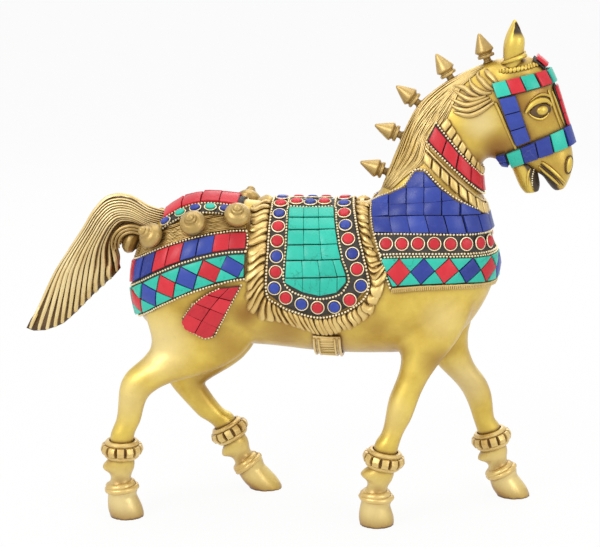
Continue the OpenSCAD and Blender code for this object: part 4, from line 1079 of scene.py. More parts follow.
@dataclass
class Jaw:
    """Lower jaw, hanging open, with a lip, painted shade on its inner side and small teeth."""

    # Direction of the jaw's inner side, and how its painted shade fades in.
    inward: Triple = (0.95, 0.0, 0.3)
    shade_from: float = 0.02
    shade_to: float = 0.3
    lip: Line = ((113.6, 178.6), (111.9, 175.5), (111.2, 171.5), (111.4, 167.4))
    lip_radius: float = 0.6
    lip_rise: float = 0.05
    teeth: Line = ((114.2, 176.0), (113.5, 172.6), (113.6, 168.6))
    # Radius, spacing and height of the teeth.
    tooth: Triple = (0.42, 1.1, 0.1)

    def build(self) -> None:
        """Round the jaw, paint shade on its inner side and lay its lip and teeth."""
        bm = settled(merged_copy("lower_jaw"), (ROUNDED,))
        skin = Skin(bm)
        patina_and_shade = bm.verts.layers.float.new("patina_and_shade")
        way = Vector(self.inward).normalized()
        for vert in bm.verts:
            facing = vert.normal.dot(way) - self.shade_from
            vert[patina_and_shade] = held(facing / (self.shade_to - self.shade_from))
        add_piece("open_jaw", bm, SATIN, Slot.SATIN, ("lower_jaw",), 70)
        lips, teeth, row = Strands(8), bmesh.new(), BeadRow(*self.tooth)
        for side in Side:
            lips.laid(skin.drawn(self.lip, side), self.lip_rise, self.lip_radius, 0.4, 0.4)
            row.lay(teeth, skin.drawn(self.teeth, side))
        add_piece("jaw_lips", lips.mesh(), SATIN, Slot.SATIN)
        add_piece("jaw_teeth", teeth, CREAM, Slot.PALE)


@dataclass
class Coronets:
    """Rolls of brass round the top of each hoof."""

    # Share of the way from sole to anklet, radius and sinking of each roll.
    rolls: tuple[Triple, ...] = ((0.345, 1.5, 0.65), (0.38, 2.2, 1.75))
    slope: float = 1.0
    steps: int = 36
    track: float = 25.0
    # Leg, side, drawing x and z of its anklet, and drawing x of its sole.
    axes: tuple[tuple[str, Side, float, float, float], ...] = (
        ("right_hind_leg", Side.RIGHT, -87.0, 42.5, -88.0),
        ("left_hind_leg", Side.LEFT, -43.2, 36.8, -23.0),
        ("right_fore_leg", Side.RIGHT, 45.2, 41.0, 38.0),
        ("left_fore_leg", Side.LEFT, 95.6, 37.0, 107.0))

    def build(self) -> None:
        """Lay a ring square to the pastern on each foot."""
        bundle = Strands(10)
        for node, side, top, height, foot in self.axes:
            leg = Skin(merged_copy(node))
            y = side.value * self.track
            way = (at(top, y, height) - at(foot, y, 0)).normalized()
            ahead = (Vector((1, 0, 0)) - way * way.x).normalized()
            for share, fat, sink in self.rolls:
                centre = at(mix(foot, top, share), y, height * share)
                ring = []
                for turn in turns(self.steps):
                    out = ahead * math.cos(turn) + way.cross(ahead) * math.sin(turn)
                    spot = leg.shot(centre + way * (self.slope * MM * math.cos(turn)), out, out)
                    if spot:
                        ring.append(spot.point - out * (sink * MM))
                bundle.add(ring, [fat] * len(ring))
        add_piece("coronet_rolls", bundle.mesh(), FOLDS, Slot.SATIN)


@dataclass
class Ears:
    """Pair of leaf-shaped ears, each with a hollow in painted shade below its tip and a rolled
    foot.
    """

    voxel: float = 0.5
    # The hollow and its painted shade: depth, direction, heights of its foot and tip, and how it
    # fades out.
    hollow: float = 2.2
    hollow_way: Triple = (0.84, 0.52, 0.1)
    low: float = 239.5
    high: float = 252.0
    facing_from: float = 0.28
    facing_fade: float = 0.25
    foot_fade: float = 0.4
    tip_end: float = 1.05
    tip_fade: float = 0.1
    tip_shallow: float = 0.6
    shade_gain: float = 1.6
    # Slimming towards the foot: share, middle and heights.
    slim: float = 0.78
    slim_x: float = 98.8
    slim_z: Pair = (229.0, 243.0)
    # Ring round the foot: middle, half-sizes, rise in front and radius with its swing.
    foot: Triple = (103.0, -7.5, 229.6)
    foot_half: Pair = (5.2, 4.8)
    foot_rise: float = 1.9
    foot_radius: Pair = (1.05, 0.25)
    foot_steps: int = 24
    # Swelling of the poll below each ear: middle and half-sizes.
    mound: Triple = (103.8, -5.6, 224.4)
    mound_half: Triple = (9.6, 5.8, 5.2)

    def add_mounds(self, bm: bmesh.types.BMesh) -> None:
        """Add the swellings of the poll from which the ears rise.

        Args:
            bm: Mesh that receives them.
        """
        x, y, z = self.mound
        scale = Matrix.Diagonal((*(half * MM for half in self.mound_half), 1.0))
        for side in Side:
            where = Matrix.Translation(at(x, -side.value * y, z)) @ scale
            bmesh.ops.create_uvsphere(bm, u_segments=24, v_segments=12, radius=1.0, matrix=where)

    def mound_skin(self) -> Skin:
        """Make the skin of the swellings alone.

        Returns:
            The skin.
        """
        bm = bmesh.new()
        self.add_mounds(bm)
        return Skin(bm)

    def press(self, bm: bmesh.types.BMesh) -> None:
        """Press a hollow with painted shade into each ear and slim its foot.

        Args:
            bm: Mesh of the ears.
        """
        bm.normal_update()
        patina_and_shade = bm.verts.layers.float.new("patina_and_shade")
        pivot = at(self.slim_x, 0, 0).x
        ahead, aside, up = self.hollow_way
        for vert in bm.verts:
            way = Vector((ahead, math.copysign(aside, vert.co.y), up)).normalized()
            z = vert.co.z / MM
            height = (z - self.low) / (self.high - self.low)
            share = held(min((vert.normal.dot(way) - self.facing_from) / self.facing_fade,
                             height / self.foot_fade, (self.tip_end - height) / self.tip_fade))
            shallow = 1 - self.tip_shallow * max(height, 0.0)
            vert.co -= way * (self.hollow * MM * share * shallow)
            # The hollow takes painted shade.
            vert[patina_and_shade] = min(1.0, share * self.shade_gain)
            rise = held((z - self.slim_z[0]) / (self.slim_z[1] - self.slim_z[0]))
            vert.co.x = pivot + (vert.co.x - pivot) * mix(self.slim, 1.0, rise)
        relax(bm, bm.verts)

    def build(self) -> None:
        """Round the ears, press a hollow into each and roll a ring round its foot."""
        bm = settled(merged_copy("ears"), (
            ROUNDED,
            ("REMESH", {"mode": "VOXEL", "voxel_size": self.voxel * MM}),
            SMOOTHED))
        self.press(bm)
        add_piece("leaf_ears", bm, SATIN, Slot.SATIN, ("ears",), 70)
        rings = Strands(8)
        x, y, z = self.foot
        angles = turns(self.foot_steps)
        for side in Side:
            rings.add([at(x + self.foot_half[0] * math.cos(t),
                          -side.value * (y + self.foot_half[1] * math.sin(t)),
                          z + self.foot_rise * math.cos(t)) for t in angles],
                      [self.foot_radius[0] + self.foot_radius[1] * math.cos(t) for t in angles])
        add_piece("ear_rings", rings.mesh(), SATIN, Slot.SATIN)


@dataclass
class StoneSet:
    """Chips or studs of one colour, seated on the curve of the brass."""

    node: str
    finish: StoneFinish
    slot: Slot
    # Cuts along a chip's edges, and how far it bends to the brass, from 0 to 1.
    cuts: int = 1
    follow: float = 0.85
    edge: float = 0.22
    edge_limit: float = 38.0
    tilt: float = 1.2
    seed: int = 1
    # Growth of a chip's outline into its joints, and the middle that stays.
    grow: float = 0.13
    middle: float = 0.5

    @classmethod
    def studs(cls, node: str, finish: StoneFinish, slot: Slot, seed: int,
              edge: float = 0.2) -> "StoneSet":
        """Return a set of small flat studs with rounded rims."""
        return cls(node, finish, slot, cuts=0, follow=0.0, edge=edge, tilt=0.5, seed=seed)

    def build(self, skin: Skin) -> None:
        """Bend the chips to the brass, tilt them a little and round their edges.

        Args:
            skin: The brass below.
        """
        rng = random.Random(self.seed)
        bm = merged_copy(self.node)
        bmesh.ops.dissolve_limit(bm, angle_limit=math.radians(1), verts=bm.verts, edges=bm.edges)
        if self.cuts:
            bmesh.ops.subdivide_edges(bm, edges=bm.edges[:], cuts=self.cuts, use_grid_fill=True)
        tint = bm.verts.layers.float.new("tint")
        for group in islands(bm):
            self.seat(group, skin, rng)
            shade = rng.random()
            for vert in group:
                vert[tint] = shade
        bm.normal_update()
        soften(bm, self.edge, 2, self.edge_limit)
        add_piece(self.node + "_set", bm, self.finish, self.slot, (self.node,), 30)

    def seat(self, group: Sequence[bmesh.types.BMVert], skin: Skin, rng: random.Random) -> None:
        """Lay one chip on the brass.

        Args:
            group: Its vertices.
            skin: The brass below.
            rng: Source of its tilt.
        """
        centre = sum((v.co for v in group), Vector()) / len(group)
        foot, normal, _, _ = skin.tree.find_nearest(centre)
        if (centre - foot).dot(normal) < 0:
            normal = -normal
        height = (centre - foot).length
        for vert in group:
            own = (vert.co - centre).dot(normal)
            flat = vert.co - centre - normal * own
            if self.cuts and flat.length > self.middle * MM:
                vert.co += flat.normalized() * (self.grow * MM)
            near, _, _, _ = skin.tree.find_nearest(vert.co)
            gap = (vert.co - near).dot(normal)
            vert.co += normal * ((height + own - gap) * self.follow)
        turn = Matrix.Rotation(math.radians(rng.uniform(-self.tilt, self.tilt)), 4,
                               Vector((rng.uniform(-1, 1), rng.uniform(-1, 1), 0.3)))
        for vert in group:
            vert.co = centre + turn @ (vert.co - centre)


@dataclass
class Mosaic:
    """All stones and the lac that holds them."""

    stones: tuple[StoneSet, ...] = (
        StoneSet("saddle_turquoise", TURQUOISE, Slot.TURQUOISE, 2, seed=11),
        StoneSet.studs("saddle_red_studs", RED, Slot.RED, 12),
        StoneSet.studs("saddle_blue_studs", BLUE, Slot.BLUE, 13),
        StoneSet("breast_blue_stones", BLUE, Slot.BLUE, 1, seed=14),
        StoneSet.studs("breast_red_studs", RED, Slot.RED, 15),
        StoneSet("breast_red_diamonds", RED, Slot.RED, 1, seed=16),
        StoneSet("breast_blue_diamonds", BLUE, Slot.BLUE, 1, seed=17),
        StoneSet("breast_turquoise", TURQUOISE, Slot.TURQUOISE, 1, seed=18),
        StoneSet("collar_red_stones", RED, Slot.RED, 2, seed=19),
        StoneSet("rump_top_stones", RED, Slot.RED, 2, seed=20),
        StoneSet.studs("rump_oval_turquoise", TURQUOISE, Slot.TURQUOISE, 21, 0.4),
        StoneSet.studs("rump_oval_blue", BLUE, Slot.BLUE, 22, 0.4),
        StoneSet("rump_red_stones", RED, Slot.RED, 1, seed=23),
        StoneSet("rump_blue_stones", BLUE, Slot.BLUE, 1, seed=24),
        StoneSet("rump_red_diamonds", RED, Slot.RED, 1, seed=25),
        StoneSet("rump_blue_diamonds", BLUE, Slot.BLUE, 1, seed=26),
        StoneSet("rump_turquoise", TURQUOISE, Slot.TURQUOISE, 1, seed=27),
        StoneSet("thigh_red_stones", RED, Slot.RED, 1, 0.0, seed=28),
        StoneSet("bridle_turquoise", TURQUOISE, Slot.TURQUOISE, 1, 0.6, seed=29),
        StoneSet("bridle_red_stones", RED, Slot.RED, 1, 0.6, seed=30),
        StoneSet("bridle_blue_stones", BLUE, Slot.BLUE, 1, 0.6, seed=31))
    beds: tuple[str, ...] = ("saddle_bed", "breast_bed", "collar_bed", "rump_bed",
                             "thigh_bed", "bridle_bed")

    def build(self, skin: Skin) -> None:
        """Set the stones and spread the lac.

        Args:
            skin: The brass below.
        """
        for stones in self.stones:
            stones.build(skin)
        for node in self.beds:
            bm = merged_copy(node)
            bmesh.ops.subdivide_edges(bm, edges=bm.edges[:], cuts=1, use_grid_fill=True)
            add_piece(node + "_lac", bm, LAC, Slot.LAC, (node,), 50)


@dataclass
class Fitting:
    """Brass fitting that keeps its solid's shape, with softened edges."""

    node: str
    finish: BrassFinish
    slot: Slot
    edge: float = 0.3
    segments: int = 2
    edge_limit: float = 32.0
    relaxed: int = 0

    def build(self) -> None:
        """Soften the solid's edges and dress it."""
        bm = merged_copy(self.node)
        bmesh.ops.dissolve_limit(bm, angle_limit=math.radians(0.5), verts=bm.verts, edges=bm.edges)
        relax(bm, bm.verts, self.relaxed)
        bm.normal_update()
        if self.edge:
            soften(bm, self.edge, self.segments, self.edge_limit)
        add_piece(self.node + "_fitting", bm, self.finish, self.slot, (self.node,), 42)


@dataclass
class Fittings:
    """Finials, bells, anklets, blocks, bezels and straps."""

    items: tuple[Fitting, ...] = (
        Fitting("mane_finials", AGED, Slot.PALE, 0.25),
        Fitting("crupper_bells", AGED, Slot.PALE, 0.3),
        *(Fitting(f"{leg}_anklet", FOLDS, Slot.PALE, 0.4, 3) for leg in LEGS),
        Fitting("collar_blocks", FOLDS, Slot.PALE, 1.0, 4),
        Fitting("saddle_bezels", CREAM, Slot.PALE, 0.12),
        Fitting("breast_bezels", CREAM, Slot.PALE, 0.12),
        Fitting("rump_bezels", CREAM, Slot.PALE, 0.15),
        Fitting("saddle_cloth", SATIN, Slot.SATIN, 0.2),
        Fitting("crupper_strap", SATIN, Slot.SATIN, 0.25),
        Fitting("girth_strap", PALE, Slot.PALE, 0.25),
        Fitting("breast_comb", FOLDS, Slot.PALE, 0.2))

    def build(self) -> None:
        """Dress each fitting."""
        for item in self.items:
            item.build()


@dataclass
class BeadRow:
    """Granulated wire: a row of tiny brass balls."""

    radius: float = 0.6
    pitch: float = 1.55
    height: float = 1.25

    def lay(self, bm: bmesh.types.BMesh, trail: Trail) -> None:
        """Lay the balls along a row of places.

        Args:
            bm: Mesh that receives them.
            trail: The row.
        """
        for spot in trail.even(self.pitch):
            bmesh.ops.create_uvsphere(bm, u_segments=6, v_segments=4, radius=self.radius * MM,
                                      matrix=Matrix.Translation(spot.raised(self.height)))


@dataclass
class BeadWires:
    """Bead borders of saddle, breast, collar, rump and thighs, and the collar's plain wire."""

    bead: BeadRow = field(default_factory=BeadRow)
    # The saddle, on the unrolled barrel: the field, its top and the rim.
    saddle: tuple[Line, ...] = (
        ((5.8, 10.2), (12, 9.9), (17.6, 9.6), (18.8, 11.4), (19.4, 17.6), (20.4, 24.2),
         (21.8, 31.7), (23.6, 39), (26.4, 46.5), (26.3, 50.2), (22.4, 54.8), (13.4, 56.7),
         (4.8, 55.1), (-2.6, 51.6), (-4.9, 47), (-4.6, 39), (-4.4, 31.7), (-4.6, 20),
         (-5, 11.4), (-4, 9.6), (0.6, 9.9), (5.8, 10.2)),
        ((18, 0), (18.1, 4), (18.2, 8)), ((-5.2, 0), (-5.2, 4), (-5.1, 8)),
        ((26.9, 0), (27.8, 12), (30.3, 26), (33.8, 40), (36.3, 53), (32, 59.8), (22, 64.2),
         (12, 65.7), (2, 63.2), (-7.6, 59.2), (-13, 54), (-12.9, 34), (-12.8, 0)))
    saddle_height: float = 2.5
    breast: tuple[Band, ...] = (
        (38.9, 145.9, 105, 145.1, 1.4), (41.6, 137.1, 105, 136.3, 1.2),
        (43.6, 135.8, 105, 135.0, 1.2))
    breast_edge: Line = (
        (46.3, 122.2), (43.6, 130.0), (40.8, 138.0), (38.2, 145.6), (36.7, 152.6), (36.6, 158.2),
        (40.2, 161.7), (46.2, 165.2), (51.8, 168.4), (54.6, 172.1), (57.4, 176.2), (61.9, 176.5),
        (65.6, 172.9), (69.4, 169.2), (73.4, 166.0), (77.5, 163.1), (82.6, 160.0), (88.0, 157.2))
    collar: tuple[Band, ...] = (
        (63.0, 189.7, 92.5, 160.6, 0), (67.2, 198.8, 91, 169.5, 0))
    collar_wire: Band = (62.2, 186.9, 92.4, 157.9, 0)
    wire_radius: float = 0.75
    wire_height: float = 0.5
    rump: tuple[Band, ...] = (
        (-24.2, 145.9, -92, 121.0, 6.6), (-24.2, 137.0, -92, 108.4, 7.0),
        (-24.4, 124.4, -92, 90.4, 6.3))
    rump_edge: Line = ((-24.0, 145.6), (-23.2, 141.4), (-23.8, 137.2))
    # The crown of the rump: distances from the spine, and stations along it.
    crown: Pair = (11.4, 18.0)
    crown_x: Triple = (-66.5, -47.0, -27.5)
    thigh_height: float = 0.5
    thigh: tuple[Line, ...] = (
        ((-36.4, 119.8), (-42.5, 116.6), (-47.7, 112.7), (-52.0, 107.7), (-55.1, 102.9)),
        ((-55.1, 102.9), (-53.8, 98.9), (-48.8, 96.2), (-44.0, 93.9), (-39.4, 95.2)),
        ((-39.4, 95.2), (-33.0, 108.0), (-25.7, 121.4)))

    @staticmethod
    def string(name: str, row: BeadRow, trails: Iterable[Trail]) -> None:
        """Lay bead rows along some trails as one piece.

        Args:
            name: Name of the piece.
            row: The beads.
            trails: Rows of places.
        """
        bm = bmesh.new()
        for trail in trails:
            row.lay(bm, trail)
        add_piece(name, bm, CREAM, Slot.PALE)

    def build(self, skin: Skin, flank: Skin) -> None:
        """Lay every bead border.

        Args:
            skin: Trunk and head.
            flank: Trunk, legs and thigh beds.
        """
        self.string("saddle_beads", BeadRow(height=self.saddle_height),
                    [skin.unrolled(line, side) for side in Side for line in self.saddle])
        self.string("breast_beads", self.bead,
                    [*map(skin.hoop, self.breast),
                     *(skin.drawn(self.breast_edge, side) for side in Side)])
        self.string("collar_beads", self.bead, map(skin.hoop, self.collar))
        wire = Strands(8)
        wire.laid(skin.hoop(self.collar_wire), self.wire_height, self.wire_radius, 0.8, 0.8)
        add_piece("collar_wire", wire.mesh(), PALE, Slot.PALE)
        crowns = [[(x, down) for x in self.crown_x] for down in self.crown]
        self.string("rump_beads", self.bead,
                    [*map(skin.hoop, self.rump),
                     *(skin.drawn(self.rump_edge, side) for side in Side),
                     *(skin.unrolled(line, side) for line in crowns for side in Side)])
        self.string("thigh_beads", BeadRow(height=self.thigh_height),
                    [flank.drawn(line, side) for side in Side for line in self.thigh])


@dataclass
class Frill:
    """Pleated frill round the saddle cloth, with leaf-like folds."""

    count: int = 54
    seed: int = 5
    # Folds stand closer round the lowest station, and overlap away from it on both sides.
    lowest: float = 6.8
    crowd: float = 0.6
    crowd_reach: float = 1.8
    tilt_reach: float = 1.5
    # S-shaped lean of a fold, and its sweep away from the front and the back.
    lean: float = 0.16
    sweep: float = 1.0
    sweep_middle: float = 7.0
    sweep_reach: float = 1.3
    ends: Pair = (0.1, 11.9)
    # Share of the width left at the cloth's rim, and the point about which a fold sweeps.
    rim_gap: float = 0.02
    sweep_from: float = 0.3
    # Bluntness of a fold's ends with its limit, and the part of a half wave that it swells by.
    blunt: float = 0.22
    blunt_limit: float = 0.05
    swell_wave: Pair = (0.22, 0.6)
    # Heights above the barrel: the least, a fold's middle, its tilt and its swell.
    least: float = 0.25
    base: float = 0.9
    tilt_rise: float = 0.9
    swell: float = 1.9
    # Spans from which each fold draws its sway, height, width, sweep, shift and length.
    sways: Pair = (0.4, 1.8)
    talls: Pair = (0.6, 1.3)
    wides: Pair = (0.52, 0.78)
    drops: Pair = (0.6, 1.4)
    shifts: Pair = (-0.16, 0.16)
    reaches: Pair = (0.9, 1.04)
    per_station: int = 20
    inner: Line = (
        (27.5, 0), (28.5, 12), (31, 26), (34.5, 40), (37, 53), (32.5, 60.5), (22, 65), (12, 66.5),
        (2, 64), (-8, 60), (-13.8, 54), (-13.6, 34), (-13.5, 0))
    outer: Line = (
        (34.6, 0), (35.2, 12), (36.8, 28), (40.6, 43), (45, 58), (39, 67), (27, 73.6), (15, 77),
        (4, 73.6), (-8, 69.8), (-23, 65), (-23.2, 35), (-23.3, 0))

    def even_stations(self) -> list[float]:
        """Space the folds along the middle of the frill, closer below.

        Returns:
            Station numbers of the joints between folds.
        """
        table, last = [0.0], None
        steps = (len(self.inner) - 1) * self.per_station
        for i in range(steps + 1):
            t = i / self.per_station
            a, b = spline(self.inner, t), spline(self.outer, t)
            p = Vector(((a[0] + b[0]) / 2, (a[1] + b[1]) / 2))
            if last is not None:
                crowd = 1 + self.crowd * math.exp(-((t - self.lowest) / self.crowd_reach) ** 2)
                table.append(table[-1] + (p - last).length * crowd)
            last = p
        result = []
        for i in range(self.count + 1):
            want = table[-1] * i / self.count
            k = max(j for j in range(steps) if table[j] <= want)
            part = (want - table[k]) / max(table[k + 1] - table[k], SAME)
            result.append((k + part) / self.per_station)
        return result

    def build(self, skin: Skin) -> None:
        """Lay a smooth base and the leaves over it.

        Args:
            skin: The barrel.
        """
        Fitting("saddle_frill", FOLDS, Slot.PALE, 0.0, relaxed=8).build()
        bm = bmesh.new()
        stations = self.even_stations()
        rng = random.Random(self.seed)
        for side in Side:
            for a, b in zip(stations, stations[1:]):
                if self.ends[0] < a and b < self.ends[1]:
                    self.leaf(bm, skin, side, (a + b) / 2, b - a, rng)
        add_piece("frill_leaves", bm, FOLDS, Slot.PALE)

    def tilt(self, middle: float) -> float:
        """Return the way a fold overlaps the next, from 1 in front to -1 behind."""
        return math.tanh((self.lowest - middle) / self.tilt_reach)

    def leaf(self, bm: bmesh.types.BMesh, skin: Skin, side: Side, middle: float, pitch: float,
             rng: random.Random) -> None:
        """Model one fold, a bent leaf from the cloth's rim outwards.

        Args:
            bm: Mesh that receives it.
            skin: The barrel.
            side: Side of the horse.
            middle: Station of the fold.
            pitch: Stations from fold to fold.
            rng: Source of small differences.
        """
        turn = Matrix.Rotation(math.pi / 2, 4, "X")
        made = bmesh.ops.create_uvsphere(bm, u_segments=8, v_segments=8, radius=1.0, matrix=turn)
        last = len(self.inner) - 1 - 0.001
        sway, tall, wide = (rng.uniform(*span) for span in (self.sways, self.talls, self.wides))
        drop = self.sweep * math.tanh((self.sweep_middle - middle) / self.sweep_reach)
        drop *= rng.uniform(*self.drops)
        middle += pitch * rng.uniform(*self.shifts)
        reach = rng.uniform(*self.reaches)
        for vert in made["verts"]:
            u, v, w = vert.co.x, (vert.co.y + 1) / 2, vert.co.z
            blunt = max(self.blunt_limit, 1 - vert.co.y ** 2) ** -self.blunt
            bend = self.lean * math.sin(v * math.tau) * sway + drop * (v - self.sweep_from)
            t = max(0.0, min(last, middle + pitch * bend + u * blunt * pitch * wide))
            a, b = spline(self.inner, t), spline(self.outer, t)
            r = self.rim_gap + (1 - self.rim_gap) * v * reach
            spot = skin.girth(mix(a[0], b[0], r), mix(a[1], b[1], r), side)
            wave = math.sin(math.pi * (self.swell_wave[0] + self.swell_wave[1] * v))
            swell = self.swell * wave * w * blunt * tall
            rise = self.base + self.tilt_rise * u * self.tilt(middle) + swell
            vert.co = spot.raised(max(self.least, rise))


@dataclass
class Tail:
    """Arched tail of ridged strands that end raggedly below."""

    count: int = 13
    seed: int = 9
    steps: int = 54
    # Stations from the rump: upper edge and lower edge, each as x and z.
    arch: tuple[tuple[float, float, float, float], ...] = (
        (-64, 151, -69, 139), (-75.5, 154, -76, 141.5), (-86.5, 159.5, -82, 144.5),
        (-96.3, 158.7, -87, 145.2), (-103.5, 152, -90, 143.4), (-109.5, 142.5, -92.3, 140),
        (-117, 131.6, -93.2, 136.2), (-123.5, 122, -92.6, 132), (-129, 111.4, -91.6, 128.2))
    # Ragged end of the plume, from its upper edge to its lower.
    edge: Line = (
        (-139.6, 90.6), (-131, 89.8), (-122.2, 93.2), (-114.6, 99.6), (-107, 107.4), (-99, 114.8),
        (-91.4, 122.2))
    # Half-width at each station, for strands that pass beside the core.
    half: tuple[float, ...] = (6, 6.5, 7.5, 8.5, 9.5, 9.5, 9, 8, 6.5, 2.6)
    # Waves of a strand: span of the swing, and radians along it.
    swings: Pair = (0.1, 0.3)
    wave_angle: float = 9.0
    # Radius as a share of the gap between strands, and the least.
    fat: float = 0.42
    thin: float = 0.25
    # Share of the radius at a strand's tip, and how fast it grows from there.
    tip: float = 0.5
    tip_growth: float = 5.0
    # Strand along the crest: place across the plume and radius.
    crest_share: float = 0.035
    crest_radius: float = 1.3
    # Curls round the hollow: middle, half-sizes, turn in degrees, radius and steps inwards.
    curl: tuple[float, float, float, float] = (-83.6, 135.4, 10.3, 9.9)
    curl_y: float = 6.6
    curl_turn: Pair = (58.0, 196.0)
    curl_count: int = 3
    curl_steps: int = 24
    curl_radius: float = 0.95
    curl_in: Pair = (1.65, 0.5)

    def path(self, share: float) -> list[Pair]:
        """Return side-view points of a strand, from the rump to the plume's ragged end.

        Args:
            share: Place across the plume, 0 on its upper edge and 1 on its lower.

        Returns:
            Drawing x and z of each point.
        """
        pairs = [(mix(x0, x1, share), mix(z0, z1, share)) for x0, z0, x1, z1 in self.arch]
        end = spline(self.edge, share * (len(self.edge) - 1))
        return [*pairs, (end[0], end[1])]

    def strand(self, skin: Skin, side: Side, index: int, rng: random.Random
               ) -> tuple[list[Vector], list[float]]:
        """Follow one strand along the plume.

        Args:
            skin: The tail's core.
            side: Side of the tail.
            index: Number of the strand, from the upper edge.
            rng: Source of its waves.

        Returns:
            Its points and its radii in millimetres.
        """
        share = (index + 0.5) / self.count
        pairs, beside = self.path(share), self.path(share + 0.5 / self.count)
        phase, swing = rng.uniform(*PHASES), rng.uniform(*self.swings)
        points, radii = [], []
        for i in range(self.steps + 1):
            u = i / self.steps
            t = u * (len(pairs) - 1)
            x, z = spline(pairs, t)
            near = spline(beside, t)
            gap = 2 * math.hypot(near[0] - x, near[1] - z)
            wave = swing * math.sin(phase + self.wave_angle * u) * u
            spot = skin.seen(x + wave, z + wave, side)
            half = spline([(value,) for value in self.half], t)[0]
            y = side.value * half * math.sqrt(max(0.0, 1 - (2 * share - 1) ** 2))
            points.append(spot.point if spot else at(x + wave, y, z + wave))
            full = min(1.0, self.tip + self.tip_growth * (1 - u))
            radii.append(max(self.thin, self.fat * gap * full))
        return points, radii

    def add_curls(self) -> None:
        """Roll the innermost strands round the hollow behind the rump, in darker brass as painted
        shade.
        """
        curls = Strands(8)
        x, z, wide, tall = self.curl
        inward, narrower = self.curl_in
        angles = [math.radians(mix(*self.curl_turn, k / self.curl_steps))
                  for k in range(self.curl_steps + 1)]
        for side in Side:
            for i in range(self.curl_count):
                y = side.value * (self.curl_y - narrower * i)
                points = [at(x + (wide - inward * i) * math.cos(turn), y,
                             z + (tall - inward * i) * math.sin(turn)) for turn in angles]
                curls.tapered(points, self.curl_radius, 0.7, 0.4)
        # The curls take the darker aged brass as painted shade in the hollow.
        add_piece("tail_curls", curls.mesh(), AGED, Slot.SATIN)

    def build(self) -> None:
        """Lay the strands over the tail's core, which is near black as painted shade between them.
        """
        rng = random.Random(self.seed)
        strands = Strands(8)
        skin = Skin(merged_copy("tail"))
        for side in Side:
            for i in range(self.count):
                strands.add(*self.strand(skin, side, i, rng))
        crest = sampled(self.path(self.crest_share), 5)
        strands.tapered([at(x, 0.0, z) for x, z in crest], self.crest_radius, 0.7, 0.3)
        add_piece("tail_strands", strands.mesh(), STRAND, Slot.SATIN)
        self.add_curls()
        # The core is near black, as painted shade between the strands.
        Fitting("tail", SHADE_BRASS, Slot.SATIN, 0.0).build()


@dataclass
class CrupperFur:
    """Short engraved hair on the strap between the rump's ovals and its bands."""

    top: Band = (-24.6, 152.1, -92, 128.3, 6.0)
    low: Band = (-24.4, 147.6, -92, 121.7, 6.6)
    rows: int = 12
    first: float = -0.55
    seed: int = 33
    pitch: float = 1.1
    # Spans of a hair's height, radius, length in places and overlap.
    heights: Pair = (0.12, 0.22)
    radii: Pair = (0.36, 0.5)
    lengths: tuple[int, int] = (6, 12)
    overlaps: tuple[int, int] = (1, 3)
    # Places at the end of a row where no hair starts.
    spare: int = 5

    def build(self, skin: Skin) -> None:
        """Lay the hair in broken rows.

        Args:
            skin: Trunk and crupper strap.
        """
        rng = random.Random(self.seed)
        hair = Strands(6)
        for i in range(self.rows):
            share = mix(self.first, 1.0, (i + 0.5) / self.rows)
            line = [mix(a, b, share) for a, b in zip(self.top, self.low)]
            spots = skin.hoop(line).even(self.pitch)
            start = 0
            while start < len(spots) - self.spare:
                count = rng.randint(*self.lengths)
                part = spots[start:start + count]
                hair.tapered([s.raised(rng.uniform(*self.heights)) for s in part],
                             rng.uniform(*self.radii), 0.2, 0.1, 0.4)
                start += count - rng.randint(*self.overlaps)
        add_piece("crupper_fur", hair.mesh(), HAIR, Slot.SATIN)


@dataclass
class BreastReeds:
    """Fine reeds on the comb below the breast diamonds."""

    line: Band = (47.3, 121.6, 105, 120.8, 1.8)
    pitch: float = 0.95
    # Distance below the rail and radius along a reed.
    drops: tuple[Pair, ...] = ((0.0, 0.4), (0.5, 0.5), (1.4, 0.5), (2.0, 0.3))
    height: float = 1.4
    rail_height: float = 1.5
    rail_radius: float = 0.45

    def build(self, skin: Skin) -> None:
        """Lay a rail and the reeds that hang from it.

        Args:
            skin: Trunk and head.
        """
        reeds = Strands(6)
        trail = Trail(skin.hoop(self.line).even(self.pitch))
        for spot in trail.spots:
            down = spot.flat(Vector((0, 0, -1)))
            reeds.add([spot.raised(self.height) + down * (d * MM) for d, _ in self.drops],
                      [fat for _, fat in self.drops])
        reeds.laid(trail, self.rail_height, self.rail_radius, 0.9, 0.9)
        add_piece("breast_reeds", reeds.mesh(), FOLDS, Slot.PALE)


